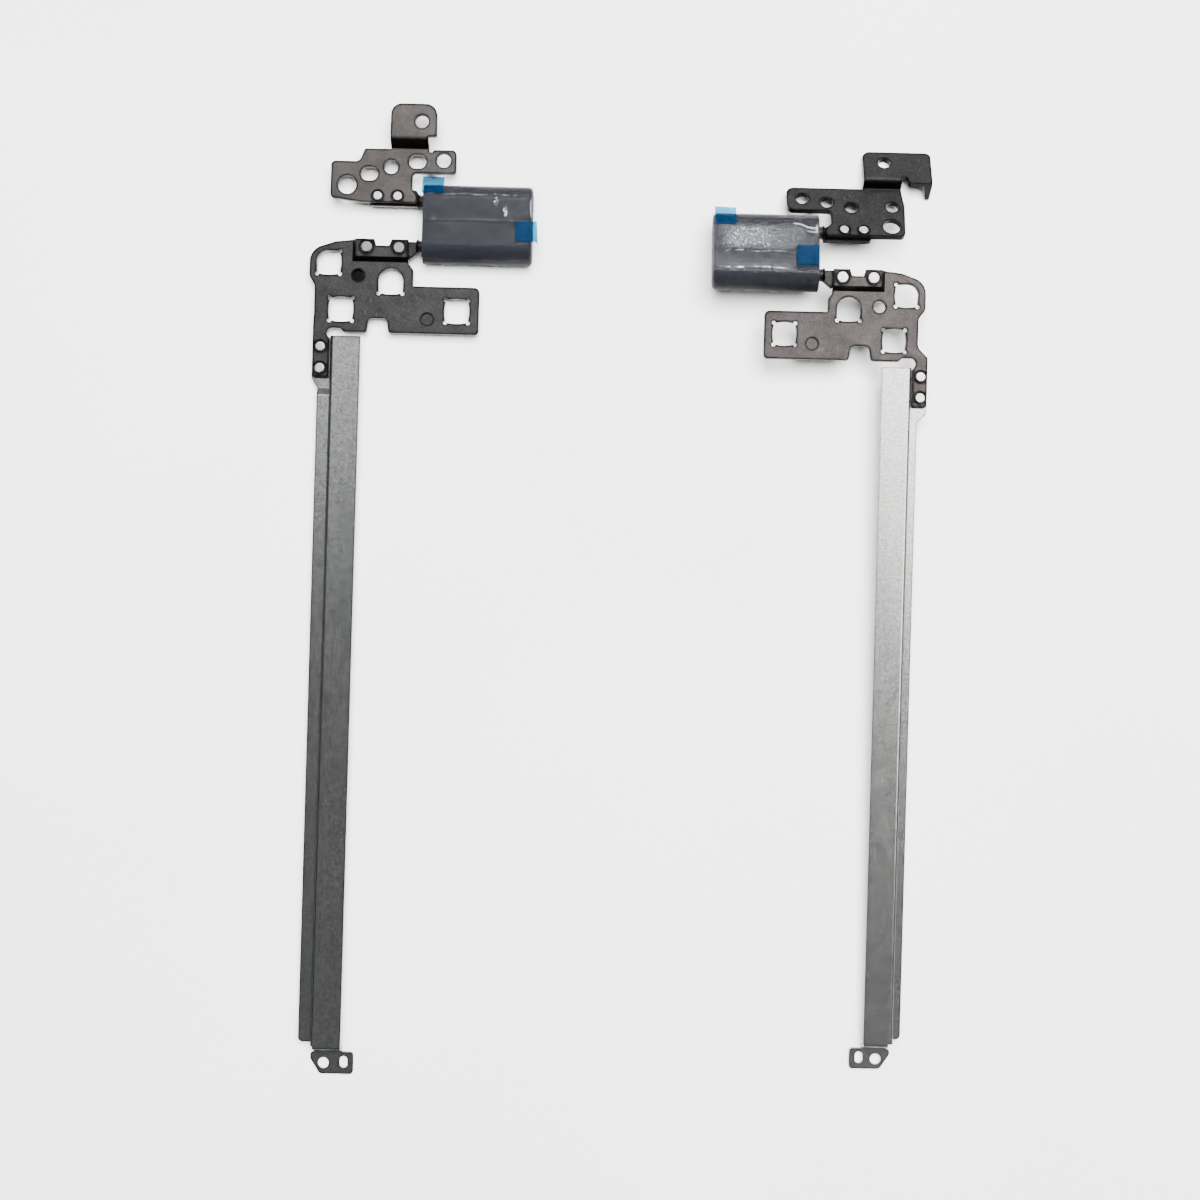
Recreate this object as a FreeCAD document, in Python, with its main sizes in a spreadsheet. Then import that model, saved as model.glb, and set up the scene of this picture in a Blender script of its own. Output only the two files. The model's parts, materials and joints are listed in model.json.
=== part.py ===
import FreeCAD, Part
import math
import os
import Sketcher

# Pair of folding hinges for a small convertible laptop, opened flat and lying on a table.
# Lengths are millimetres and angles are degrees. X runs along the hinge shafts, Y points from the
# screen side to the keyboard side, Z is up, and the origin is on the table under the pair's middle.
# Each hinge is drawn in frames that start on a shaft axis at the mouth of its cover: u points into
# the cover, y away from the screen side. u is +X on the left hinge and -X on the right one.

SIZES = {
    # where each hinge lies, and how far its two sides droop from level
    "left_mouth_x": -39.1,
    "left_lid_axis_y": 68.35,
    "left_lid_axis_height": 3.3,
    "left_rail_tilt": 0.0,
    "left_base_tilt": 0.0,
    "right_mouth_x": 38.7,
    "right_lid_axis_y": 63.55,
    "right_lid_axis_height": 8.75,
    "right_rail_tilt": 2.0,
    "right_base_tilt": -27.0,
    # cover and the film stuck to it
    "cover_radius": 3.3,
    "cover_wall": 0.5,
    "cover_end_round": 0.9,
    "left_cover_length": 21.6,
    "right_cover_length": 20.6,
    "film_thickness": 0.1,
    "film_edge_height": 0.6,
    "tab_thickness": 0.12,
    "tab_width": 4.3,
    "tab_reach": 4.35,
    "tab_rise": 2.5,
    "left_top_tab_u": -0.5,
    "left_side_tab_u": 17.9,
    "left_side_tab_y": 1.2,
    "right_top_tab_u": 15.8,
    "right_side_tab_u": 0.2,
    "right_side_tab_y": 0.3,
    # gear train that keeps both shafts turning together
    "gear_module": 0.3,
    "shaft_gear_teeth": 12,
    "idler_teeth": 9,
    "gear_width": 2.2,
    "gear_start": 1.4,
    "tooth_backlash": 0.05,
    "idler_pin_radius": 0.6,
    # shafts
    "neck_radius": 1.2,
    "thread_radius": 1.0,
    "running_gap": 0.03,
    "collar_radius": 1.4,
    "collar_width": 0.5,
    "blade_thickness": 1.0,
    "blade_top": -0.1,
    # plates and clips inside the cover
    "front_plate_start": 0.2,
    "front_plate_thickness": 1.0,
    "middle_plate_thickness": 0.8,
    "plate_fit": 0.02,
    "axial_gap": 0.2,
    "clip_thickness": 0.8,
    "clip_pitch": 0.92,
    "clip_count": 7,
    "clip_ring": 2.1,
    "clip_web": 1.5,
    "clip_slit": 0.4,
    "back_plate_thickness": 1.0,
    "washer_radius": 2.1,
    "washer_thickness": 0.5,
    "spring_count": 4,
    "spring_rise": 0.2,
    "spring_sheet": 0.35,
    "nut_width": 3.8,
    "nut_thickness": 1.7,
    # pressed brackets
    "plate_thickness": 1.0,
    "bend_radius": 0.3,
    "base_blade_reach": 1.75,
    "base_rivet_radius": 0.65,
    "base_rivet_head": 0.9,
    "base_rivet_rise": 0.25,
    "lid_rivet_radius": 0.8,
    "lid_rivet_head": 1.13,
    "lid_rivet_rise": 0.3,
    "lid_rivet_y": -0.42,
    "rail_rivet_radius": 0.7,
    "rail_rivet_head": 0.98,
    "rail_rivet_rise": 0.3,
    "rivet_foot": 0.25,
    "rivet_ring": 0.27,
    "rivet_ring_depth": 0.3,
    # left base bracket
    "left_base_outer": 18.6,
    "left_base_low_top": 7.6,
    "left_base_step_u": 12.4,
    "left_base_top": 10.2,
    "left_base_bottom": -0.5,
    "left_base_end": 1.4,
    "left_base_inner": 2.45,
    "left_arm_end": 6.2,
    "left_arm_low": 5.5,
    "left_neck_outer": 6.75,
    "left_neck_inner": -0.7,
    "left_base_rise": 2.2,
    "left_tab_start": 12.35,
    "left_tab_end": 18.7,
    "left_tab_inner": -2.4,
    "left_base_rivet_y": 0.8,
    "left_base_rivet_near": 5.3,
    "left_base_rivet_far": 9.25,
    "left_wide_hole_radius": 1.85,
    "left_wide_hole_u": -15.35,
    "left_wide_hole_y": 2.9,
    "left_screw_hole_radius": 1.42,
    "left_middle_hole_u": -6.7,
    "left_middle_hole_y": 6.65,
    "left_arm_hole_u": 3.7,
    "left_arm_hole_y": 8.15,
    "left_tab_hole_u": -0.6,
    "left_tab_hole_y": 15.2,
    "left_tab_hole_radius": 1.32,
    "left_slot_length": 3.5,
    "left_slot_width": 2.75,
    "left_outer_slot_u": -11.0,
    "left_outer_slot_y": 5.2,
    "left_inner_slot_u": -1.5,
    "left_inner_slot_y": 7.8,
    # right base bracket
    "right_base_outer": 17.4,
    "right_base_top": 10.7,
    "right_base_bottom": -1.2,
    "right_base_end": 1.5,
    "right_base_inner": 2.7,
    "right_slant_top": 9.3,
    "right_slant_low": 6.6,
    "right_slant_round": 3.0,
    "right_arm_end": 5.95,
    "right_arm_low": 4.95,
    "right_neck_outer": 16.9,
    "right_neck_inner": 9.3,
    "right_base_rise": 2.0,
    "right_tab_start": 12.15,
    "right_tab_end": 18.7,
    "right_tab_outer": 22.9,
    "right_tab_ledge": 10.7,
    "right_base_rivet_y": 0.2,
    "right_base_rivet_near": 5.2,
    "right_base_rivet_far": 8.95,
    "right_wide_hole_radius": 1.72,
    "right_wide_hole_u": -14.55,
    "right_wide_hole_y": 1.3,
    "right_screw_hole_radius": 1.28,
    "right_outer_hole_u": -14.9,
    "right_outer_hole_y": 6.25,
    "right_middle_hole_u": -6.85,
    "right_middle_hole_y": 5.85,
    "right_inner_hole_u": -2.0,
    "right_inner_hole_y": 7.05,
    "right_arm_hole_u": 2.85,
    "right_arm_hole_y": 7.9,
    "right_tab_hole_u": -13.55,
    "right_tab_hole_y": 15.9,
    "right_tab_hole_radius": 1.28,
    "lug_top_width": 1.7,
    "lug_foot_width": 0.8,
    "lug_foot": -1.66,
    # lid brackets
    "land_rise": 1.2,
    "land_slope": 0.8,
    "land_inset": 0.45,
    "lid_top": 1.2,
    "land_notch": -0.1,
    "left_land_near": 2.9,
    "left_land_far": 13.25,
    "left_land_low": -2.3,
    "left_lid_outer": 22.5,
    "left_lid_waist": 21.4,
    "left_lid_bottom": -17.2,
    "left_lid_arm_u": 11.35,
    "left_lid_arm_top": -7.8,
    "left_lid_inner": 1.9,
    "left_strap_step": -14.0,
    "left_strap_inner": 18.2,
    "left_strap_outer": 21.5,
    "left_strap_end": -26.3,
    "left_lid_rivet_near": 4.75,
    "left_lid_rivet_far": 11.15,
    "left_rail_rivet_u": 19.95,
    "left_rail_rivet_top": -20.25,
    "left_rail_rivet_low": -24.5,
    "left_square_hole": 5.0,
    "left_corner_hole_u": -18.75,
    "left_corner_hole_y": -3.4,
    "left_arch_hole_u": -6.3,
    "left_arch_hole_y": -6.95,
    "left_strap_hole_u": -16.1,
    "left_strap_hole_y": -12.7,
    "left_bar_hole_u": 6.95,
    "left_bar_hole_y": -12.6,
    "left_deep_dimple_u": -12.8,
    "left_deep_dimple_y": -5.85,
    "left_deep_dimple_depth": 0.7,
    "left_shallow_dimple_u": 1.1,
    "left_shallow_dimple_y": -14.3,
    "right_land_near": 3.0,
    "right_land_far": 12.4,
    "right_land_low": -2.1,
    "right_lid_outer": 21.3,
    "right_lid_waist": 20.0,
    "right_lid_bottom": -16.4,
    "right_lid_arm_u": 10.15,
    "right_lid_arm_top": -7.05,
    "right_lid_inner": 2.2,
    "right_strap_step": -13.6,
    "right_strap_inner": 19.15,
    "right_strap_outer": 22.0,
    "right_strap_end": -25.3,
    "right_lid_rivet_near": 4.75,
    "right_lid_rivet_far": 10.8,
    "right_rail_rivet_u": 20.65,
    "right_rail_rivet_top": -19.3,
    "right_rail_rivet_low": -23.4,
    "right_square_hole": 4.7,
    "right_corner_hole_u": -17.6,
    "right_corner_hole_y": -3.5,
    "right_arch_hole_u": -6.3,
    "right_arch_hole_y": -6.4,
    "right_strap_hole_u": -15.35,
    "right_strap_hole_y": -12.35,
    "right_bar_hole_u": 6.15,
    "right_bar_hole_y": -11.5,
    "right_deep_dimple_u": -12.3,
    "right_deep_dimple_y": -5.8,
    "right_deep_dimple_depth": 1.4,
    "right_shallow_dimple_u": 0.7,
    "right_shallow_dimple_y": -13.3,
    "dimple_radius": 1.2,
    "shallow_dimple_depth": 0.3,
    "ear_notch": 0.42,
    "clip_hole_bulge": 0.22,
    "arch_hole_extra": 0.1,
    # panel rails
    "rail_thickness": 0.7,
    "rail_face_top": 0.1,
    "rail_bend": 0.7,
    "flange_level": -1.5,
    "pad_level": -2.0,
    "joggle_start": 28.3,
    "joggle_length": 1.7,
    "left_face_inner": 12.0,
    "left_face_outer": 18.0,
    "left_flange_outer": 20.45,
    "left_face_top_y": -18.1,
    "left_face_end": -158.4,
    "left_flange_end": -157.7,
    "right_face_inner": 13.0,
    "right_face_outer": 18.9,
    "right_flange_outer": 20.3,
    "right_face_top_y": -17.6,
    "right_face_end": -150.4,
    "right_flange_end": -149.6,
    "ear_level": -3.3,
    "ear_drop_length": 1.4,
    "ear_bend_radius": 0.15,
    "left_ear_outer": 18.2,
    "left_ear_inner": 9.7,
    "left_ear_shoulder": 2.3,
    "left_ear_depth": 4.5,
    "left_ear_hole_u": 15.6,
    "left_ear_slot_u": 11.6,
    "right_ear_outer": 18.6,
    "right_ear_inner": 10.7,
    "right_ear_shoulder": 2.4,
    "right_ear_depth": 4.2,
    "right_ear_hole_u": 15.9,
    "right_ear_slot_u": 12.6,
    "ear_hole_radius": 1.1,
    "ear_slot_width": 1.6,
    "ear_slot_length": 2.4,
}

PRESSURE_ANGLE = 25.0
TOOTH_TOP = 0.8
TOOTH_FOOT = 1.1

doc = FreeCAD.newDocument("LaptopHingePair")
sheet = doc.addObject("Spreadsheet::Sheet", "Sizes")
for row, (alias, number) in enumerate(SIZES.items(), start=1):
    sheet.set(f"A{row}", alias)
    sheet.set(f"B{row}", str(number))
    sheet.setAlias(f"B{row}", alias)
doc.recompute()


def size(alias):
    """One driving size, read from the sheet."""
    return float(sheet.get(alias))


class Hinge:
    """One of the two hinges: its name and the direction of u along X."""

    def __init__(self, name, direction):
        self.name = name
        self.direction = direction

    def size(self, key):
        return size(f"{self.name}_{key}")

    def cell(self, key):
        return f"Sizes.{self.name}_{key}"

    def label(self, piece):
        return f"{self.name}_{piece}"

    def flat(self, corners):
        """Corners (u, y, radius) turned into X, Y of the drawing plane."""
        return [(self.direction * u, y, radius) for u, y, radius in corners]


LEFT = Hinge("left", 1)
RIGHT = Hinge("right", -1)


# Angles of the three groups of a hinge: the lid side, the housing between both axes, and the base
# side. The gears keep the housing at half of the angle between the other two.

def housing_tilt(hinge):
    return f"(({hinge.cell('base_tilt')} + {hinge.cell('rail_tilt')}) / 2)"


def tilted(hinge, reach, angle):
    """Placement at a distance from the lid axis along the housing, turned about X."""
    house = housing_tilt(hinge)
    x = hinge.cell("mouth_x")
    y = f"{hinge.cell('lid_axis_y')} + ({reach}) * cos({house})"
    z = f"{hinge.cell('lid_axis_height')} + ({reach}) * sin({house})"
    return f"placement(vector({x}; {y}; {z}); rotation(vector(1; 0; 0); {angle}))"


SHAFT_GEAR_RADIUS = "Sizes.gear_module * Sizes.shaft_gear_teeth / 2"
IDLER_RADIUS = "Sizes.gear_module * Sizes.idler_teeth / 2"
AXIS_SPACING = f"(2 * {SHAFT_GEAR_RADIUS} + 4 * {IDLER_RADIUS})"
IDLER_A_REACH = f"({SHAFT_GEAR_RADIUS} + {IDLER_RADIUS})"
IDLER_B_REACH = f"({SHAFT_GEAR_RADIUS} + 3 * {IDLER_RADIUS})"
IDLER_RATIO = "Sizes.shaft_gear_teeth / Sizes.idler_teeth"


def group_placement(hinge, group):
    house = housing_tilt(hinge)
    turn = f"{IDLER_RATIO} * ({hinge.cell('rail_tilt')} - {house})"
    places = {
        "lid": ("0", hinge.cell("rail_tilt")),
        "housing": ("0", house),
        "base": (AXIS_SPACING, hinge.cell("base_tilt")),
        "idler_a": (IDLER_A_REACH, f"{house} - {turn}"),
        "idler_b": (IDLER_B_REACH, f"{house} + {turn}"),
    }
    reach, angle = places[group]
    return tilted(hinge, reach, angle)


shaft_gear_radius = size("gear_module") * size("shaft_gear_teeth") / 2
idler_radius = size("gear_module") * size("idler_teeth") / 2
axis_spacing = 2 * shaft_gear_radius + 4 * idler_radius


# Outlines. A corner is (x, y, radius): a positive radius rounds the corner off, a negative one
# puts a round relief of that size on it, and zero leaves it sharp.

def outline(corners):
    count = len(corners)
    arrivals = []
    departures = []
    edges = []
    for index, (x, y, radius) in enumerate(corners):
        corner = FreeCAD.Vector(x, y, 0)
        before = FreeCAD.Vector(*corners[index - 1][:2], 0) - corner
        after = FreeCAD.Vector(*corners[(index + 1) % count][:2], 0) - corner
        before.normalize()
        after.normalize()
        if radius == 0:
            arrivals.append(corner)
            departures.append(corner)
            continue
        bisector = (before + after).normalize()
        half = before.getAngle(bisector)
        if radius > 0:
            reach = radius / math.tan(half)
            middle = corner + bisector * (radius / math.sin(half) - radius)
        else:
            reach = -radius
            middle = corner + bisector * radius
        arrivals.append(corner + before * reach)
        departures.append(corner + after * reach)
        edges.append(Part.Arc(arrivals[-1], middle, departures[-1]))
    for index in range(count):
        start = departures[index]
        end = arrivals[(index + 1) % count]
        if start.distanceToPoint(end) > 1e-6:
            edges.append(Part.LineSegment(start, end))
    return edges


def oblong(x, y, length, width, upright=False):
    """Edges of a slot with round ends."""
    across = width / 2
    if upright:
        return outline([(x - across, y - length / 2, across * 0.999),
                        (x + across, y - length / 2, across * 0.999),
                        (x + across, y + length / 2, across * 0.999),
                        (x - across, y + length / 2, across * 0.999)])
    return outline([(x - length / 2, y - across, across * 0.999),
                    (x + length / 2, y - across, across * 0.999),
                    (x + length / 2, y + across, across * 0.999),
                    (x - length / 2, y + across, across * 0.999)])


def ring(x, y, radius):
    return [Part.Circle(FreeCAD.Vector(x, y, 0), FreeCAD.Vector(0, 0, 1), radius)]


def stadium(y_low, y_high, radius):
    """Edges of the section round both shaft axes, in a plane across them."""
    left = FreeCAD.Vector(y_low, 0, 0)
    right = FreeCAD.Vector(y_high, 0, 0)
    up = FreeCAD.Vector(0, radius, 0)
    out = FreeCAD.Vector(radius, 0, 0)
    return [
        Part.LineSegment(left - up, right - up),
        Part.Arc(right - up, right + out, right + up),
        Part.LineSegment(right + up, left + up),
        Part.Arc(left + up, left - out, left - up),
    ]


def step_band(low_y, high_y, level, rise, thickness, tight, overlap):
    """Section of a sheet that is flat up to low_y, steps by rise, and is flat again from high_y."""
    def run(angle):
        return abs(rise) / math.tan(angle) + (2 * tight + thickness) * math.tan(angle / 2)

    steep = math.radians(89)
    shallow = math.radians(1)
    while steep - shallow > 1e-9:
        angle = (steep + shallow) / 2
        if run(angle) > high_y - low_y:
            shallow = angle
        else:
            steep = angle
    half = math.tan(steep / 2)
    top_first, under_first = tight, tight + thickness
    if rise < 0:
        top_first, under_first = under_first, top_first
    return outline([
        (low_y - overlap, level, 0),
        (low_y + under_first * half, level, under_first),
        (high_y - top_first * half, level + rise, top_first),
        (high_y + overlap, level + rise, 0),
        (high_y + overlap, level + rise + thickness, 0),
        (high_y - under_first * half, level + rise + thickness, under_first),
        (low_y + top_first * half, level + thickness, top_first),
        (low_y - overlap, level + thickness, 0),
    ])


# Bodies, sketches and features

def new_body(label, placement):
    body = doc.addObject("PartDesign::Body", label)
    body.Label = label
    body.setExpression("Placement", placement)
    return body


def new_sketch(body, tag, role, edges, offset):
    sketch = body.newObject("Sketcher::SketchObject", f"{body.Name}_{tag}")
    origin_plane = next(item for item in body.Origin.OriginFeatures if item.Role == role)
    sketch.AttachmentSupport = [(origin_plane, "")]
    sketch.MapMode = "FlatFace"
    sketch.setExpression("AttachmentOffset.Base.z", offset)
    for edge in edges:
        sketch.addGeometry(edge, False)
    return sketch


def pad(body, tag, role, edges, offset, length):
    feature = body.newObject("PartDesign::Pad", f"{body.Name}_{tag}_pad")
    feature.Profile = new_sketch(body, tag, role, edges, offset)
    feature.setExpression("Length", length)
    doc.recompute()
    return feature


def pocket(body, tag, role, edges, offset, length):
    """Cut from the drawing plane towards its back."""
    feature = body.newObject("PartDesign::Pocket", f"{body.Name}_{tag}_pocket")
    feature.Profile = new_sketch(body, tag, role, edges, offset)
    feature.setExpression("Length", length)
    doc.recompute()
    return feature


def across(hinge, start, length):
    """Offset along X of a drawing plane whose pad runs from start over length, in u."""
    if hinge.direction > 0:
        return f"({start})"
    return f"-(({start}) + ({length}))"


def pad_along_u(hinge, body, tag, edges, start, length):
    return pad(body, tag, "YZ_Plane", edges, across(hinge, start, length), length)


def pocket_along_u(hinge, body, tag, edges, start, length):
    """Cut between two places along u."""
    if hinge.direction > 0:
        offset = f"({start}) + ({length})"
    else:
        offset = f"-({start})"
    return pocket(body, tag, "YZ_Plane", edges, offset, length)


def revolved(body, tag, corners):
    """Solid of revolution about X from corners (x, radius, rounding)."""
    feature = body.newObject("PartDesign::Revolution", f"{body.Name}_{tag}_turn")
    sketch = new_sketch(body, tag, "XY_Plane", outline(corners), "0")
    feature.Profile = sketch
    feature.ReferenceAxis = (sketch, ["H_Axis"])
    feature.Angle = 360
    doc.recompute()
    return feature


def holes(body, tag, edges, top, depth):
    """Cut straight down from a level."""
    return pocket(body, tag, "XY_Plane", edges, f"({top}) + 1", f"({depth}) + 2")


# Base brackets: a flat plate beside the cover, an arm along the cover, and a raised screw tab

def base_plate_level():
    return "Sizes.blade_top"


def left_base_bracket(hinge):
    value = hinge.size
    body = new_body(hinge.label("base_bracket"), group_placement(hinge, "base"))
    top = value("base_top")
    plate = [
        (-value("base_outer"), value("base_low_top"), 0.8),
        (-value("base_step_u") - 0.6, value("base_low_top"), 1.2),
        (-value("base_step_u") + 0.4, top, 0.5),
        (-value("neck_inner"), top, 0),
        (-value("neck_inner") + 0.2, top - 0.5, 0.2),
        (1.4, top - 0.5, 0.2),
        (1.7, top, 0.3),
        (value("arm_end"), top, 0.9),
        (value("arm_end"), value("arm_low"), 0.7),
        (-value("base_inner"), value("arm_low"), 0.8),
        (-value("base_inner"), 2.35, 0.6),
        (-value("base_end"), 1.2, 0.2),
        (-value("base_end"), value("base_bottom"), 0.4),
        (-value("base_step_u"), value("base_bottom"), 3.0),
        (-value("base_outer"), value("base_bottom") + 0.85, 0.7),
    ]
    pad(body, "plate", "XY_Plane", outline(hinge.flat(plate)), base_plate_level(),
        "Sizes.plate_thickness")
    raised_tab(hinge, body, [
        (-value("neck_outer"), value("tab_start"), 0.2),
        (-value("neck_outer"), value("tab_end"), 2.2),
        (-value("tab_inner"), value("tab_end"), 2.3),
        (-value("tab_inner"), value("tab_start") - 0.1, 0.35),
        (-value("neck_inner"), value("tab_start") - 0.1, 0.1),
        (-value("neck_inner"), value("tab_start"), 0),
    ])
    screw = value("screw_hole_radius")
    plate_cuts = ring(*spot(hinge, "wide_hole"), value("wide_hole_radius"))
    for name in ("middle_hole", "arm_hole"):
        plate_cuts += ring(*spot(hinge, name), screw)
    for name in ("outer_slot", "inner_slot"):
        plate_cuts += oblong(*spot(hinge, name), value("slot_length"), value("slot_width"))
    finish_base_bracket(hinge, body, plate_cuts)
    return body


def right_base_bracket(hinge):
    value = hinge.size
    body = new_body(hinge.label("base_bracket"), group_placement(hinge, "base"))
    top = value("base_top")
    plate = [
        (value("arm_end"), top, 1.5),
        (-value("neck_inner"), top, 0),
        (-value("neck_outer"), top, 0),
        (-value("neck_outer") - 0.1, value("slant_top"), 1.0),
        (-value("base_outer"), value("slant_low"), value("slant_round")),
        (-value("base_outer") + 0.3, value("base_bottom"), 1.0),
        (-value("base_end"), value("base_bottom"), 0.4),
        (-value("base_end"), 0.5, 0.2),
        (-value("base_inner"), 1.7, 0.5),
        (-value("base_inner"), value("arm_low"), 0.6),
        (value("arm_end"), value("arm_low"), 1.5),
    ]
    pad(body, "plate", "XY_Plane", outline(hinge.flat(plate)), base_plate_level(),
        "Sizes.plate_thickness")
    ledge = value("tab_ledge")
    raised_tab(hinge, body, [
        (-value("neck_inner"), value("tab_start"), 0),
        (-value("neck_inner"), value("tab_end"), 1.5),
        (-value("tab_outer"), value("tab_end"), 1.2),
        (-value("tab_outer"), ledge, 0.3),
        (-value("neck_outer") - 1.3, ledge, 0.5),
        (-value("neck_outer") - 1.1, value("tab_start") + 0.2, 0.35),
        (-value("neck_outer"), value("tab_start") + 0.2, 0.3),
        (-value("neck_outer"), value("tab_start"), 0),
    ])
    tab_top = size("blade_top") + value("base_rise") + 0.5
    outer = -value("tab_outer")
    lug = [
        (outer, tab_top, 0),
        (outer, size("lug_foot"), 0.3),
        (outer + size("lug_foot_width"), size("lug_foot"), 0.3),
        (outer + size("lug_top_width"), tab_top, 0),
    ]
    pad(body, "lug", "XZ_Plane", outline(hinge.flat(lug)),
        f"-({hinge.cell('tab_ledge')} + Sizes.plate_thickness)", "Sizes.plate_thickness")
    plate_cuts = ring(*spot(hinge, "wide_hole"), value("wide_hole_radius"))
    for name in ("outer_hole", "middle_hole", "inner_hole", "arm_hole"):
        plate_cuts += ring(*spot(hinge, name), value("screw_hole_radius"))
    finish_base_bracket(hinge, body, plate_cuts)
    return body


def finish_base_bracket(hinge, body, plate_cuts):
    """Cut the screw holes of the plate and of its raised tab, and the seats of the rivets."""
    holes(body, "holes", plate_cuts, base_plate_level(), "Sizes.plate_thickness")
    holes(body, "tab_hole", ring(*spot(hinge, "tab_hole"), hinge.size("tab_hole_radius")),
          f"{base_plate_level()} + {hinge.cell('base_rise')}", "Sizes.plate_thickness")
    rivet_holes(hinge, body, "base")
    rivet_rings(hinge, body, "base", "Sizes.blade_top + Sizes.plate_thickness")


def raised_tab(hinge, body, tab):
    """Sloped neck and the raised plate that it carries."""
    value = hinge.size
    thickness = size("plate_thickness")
    neck = step_band(value("base_top") + 0.02, value("tab_start") - 0.02, size("blade_top"),
                     value("base_rise"), thickness, size("bend_radius"), 0.5)
    width = f"{hinge.cell('neck_outer')} - {hinge.cell('neck_inner')}"
    pad_along_u(hinge, body, "neck", neck, f"-{hinge.cell('neck_outer')}", width)
    pad(body, "tab", "XY_Plane", outline(hinge.flat(tab)),
        f"{base_plate_level()} + {hinge.cell('base_rise')}", "Sizes.plate_thickness")


def spot(hinge, name):
    """Place of a hole in the drawing plane."""
    return hinge.direction * hinge.size(f"{name}_u"), hinge.size(f"{name}_y")


def rivet_places(hinge, family):
    value = hinge.size
    if family == "rail":
        u = -value("rail_rivet_u")
        return [(u, value("rail_rivet_top")), (u, value("rail_rivet_low"))]
    y = value("base_rivet_y") if family == "base" else size("lid_rivet_y")
    return [(-value(f"{family}_rivet_near"), y), (-value(f"{family}_rivet_far"), y)]


def rivet_holes(hinge, body, family):
    edges = []
    for u, y in rivet_places(hinge, family):
        edges += ring(hinge.direction * u, y, size(f"{family}_rivet_radius"))
    return holes(body, f"{family}_rivet_holes", edges, "Sizes.plate_thickness", "6")


def rivet_rings(hinge, body, family, level):
    """Narrow sunk ring that the press leaves round each rivet head."""
    edges = []
    for u, y in rivet_places(hinge, family):
        edges += ring(hinge.direction * u, y, size(f"{family}_rivet_head") + size("rivet_ring"))
    return pocket(body, f"{family}_rivet_rings", "XY_Plane", edges, f"({level}) + 1",
                  "Sizes.rivet_ring_depth + 1")


def rivets(hinge, family, group, low, face):
    """Two rivets with low round heads, from a level below to the face that they hold."""
    body = new_body(hinge.label(f"{family}_rivets"), group_placement(hinge, group))
    shank = []
    heads = []
    foot = []
    shank_radius = size(f"{family}_rivet_radius")
    head_radius = size(f"{family}_rivet_head")
    for u, y in rivet_places(hinge, family):
        shank += ring(hinge.direction * u, y, shank_radius)
        heads += ring(hinge.direction * u, y, head_radius)
        foot += ring(hinge.direction * u, y, shank_radius * 1.3)
    seat = f"(({face}) - Sizes.rivet_ring_depth)"
    pad(body, "shank", "XY_Plane", shank, low, f"{seat} - ({low})")
    pad(body, "foot", "XY_Plane", foot, f"({low}) - Sizes.rivet_foot", "Sizes.rivet_foot")
    pad(body, "head", "XY_Plane", heads, seat,
        f"Sizes.rivet_ring_depth + Sizes.{family}_rivet_rise")
    ceiling = body.Tip.Shape.BoundBox.ZMax
    round_edges(body, "crown", f"Sizes.{family}_rivet_rise * 0.8",
                lambda box: box.ZMin > ceiling - 1e-4)
    return body


def round_edges(body, tag, radius, wanted):
    """Round the edges of the body whose bounding box passes the test."""
    source = body.Tip
    names = []
    for index, edge in enumerate(source.Shape.Edges, start=1):
        if wanted(edge.BoundBox):
            names.append(f"Edge{index}")
    feature = body.newObject("PartDesign::Fillet", f"{body.Name}_{tag}")
    feature.Base = (source, names)
    feature.setExpression("Radius", radius)
    doc.recompute()
    return feature


# Shafts: a turned bar with a flattened blade that is riveted under its bracket

def stack_places(hinge):
    """Where each piece in the cover starts along u, as sheet formulas."""
    places = {"front_plate": "Sizes.front_plate_start", "gear": "Sizes.gear_start"}
    places["middle_plate"] = "(Sizes.gear_start + Sizes.gear_width + Sizes.axial_gap)"
    places["clips"] = f"({places['middle_plate']} + Sizes.middle_plate_thickness + Sizes.axial_gap)"
    places["back_plate"] = f"({places['clips']} + Sizes.clip_pitch * Sizes.clip_count + 0.05)"
    places["washer"] = f"({places['back_plate']} + Sizes.back_plate_thickness + 0.05)"
    places["springs"] = f"({places['washer']} + Sizes.washer_thickness)"
    pitch = "(Sizes.spring_sheet + Sizes.spring_rise)"
    places["nut"] = f"({places['springs']} + Sizes.spring_count * {pitch} + 0.05)"
    places["end"] = f"({places['nut']} + Sizes.nut_thickness + 0.3)"
    return places


def place(hinge, key):
    """The number behind one of the stack formulas."""
    clips = size("gear_start") + size("gear_width") + 2 * size("axial_gap")
    clips += size("middle_plate_thickness")
    back = clips + size("clip_pitch") * size("clip_count") + 0.05
    washer = back + size("back_plate_thickness") + 0.05
    springs = washer + size("washer_thickness")
    nut = springs + size("spring_count") * (size("spring_sheet") + size("spring_rise")) + 0.05
    numbers = {"clips": clips, "back_plate": back, "washer": washer, "springs": springs,
               "nut": nut, "end": nut + size("nut_thickness") + 0.3}
    return numbers[key]


def shaft(hinge, family):
    body = new_body(hinge.label(f"{family}_shaft"), group_placement(hinge, family))
    direction = hinge.direction
    neck = size("neck_radius")
    thread = size("thread_radius")
    start = -1.35
    collar_end = start + size("collar_width")
    turn = [
        (start, 0, 0),
        (start, size("collar_radius"), 0.15),
        (collar_end, size("collar_radius"), 0.15),
        (collar_end, neck, 0),
        (place(hinge, "washer"), neck, 0.1),
        (place(hinge, "washer"), thread, 0),
        (place(hinge, "end"), thread, 0.25),
        (place(hinge, "end"), 0, 0),
    ]
    revolved(body, "bar", [(direction * u, r, rounding) for u, r, rounding in turn])
    pad(body, "blade", "XY_Plane", outline(hinge.flat(blade_outline(hinge, family))),
        "Sizes.blade_top - Sizes.blade_thickness", "Sizes.blade_thickness")
    rivet_holes(hinge, body, family)
    return body


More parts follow.
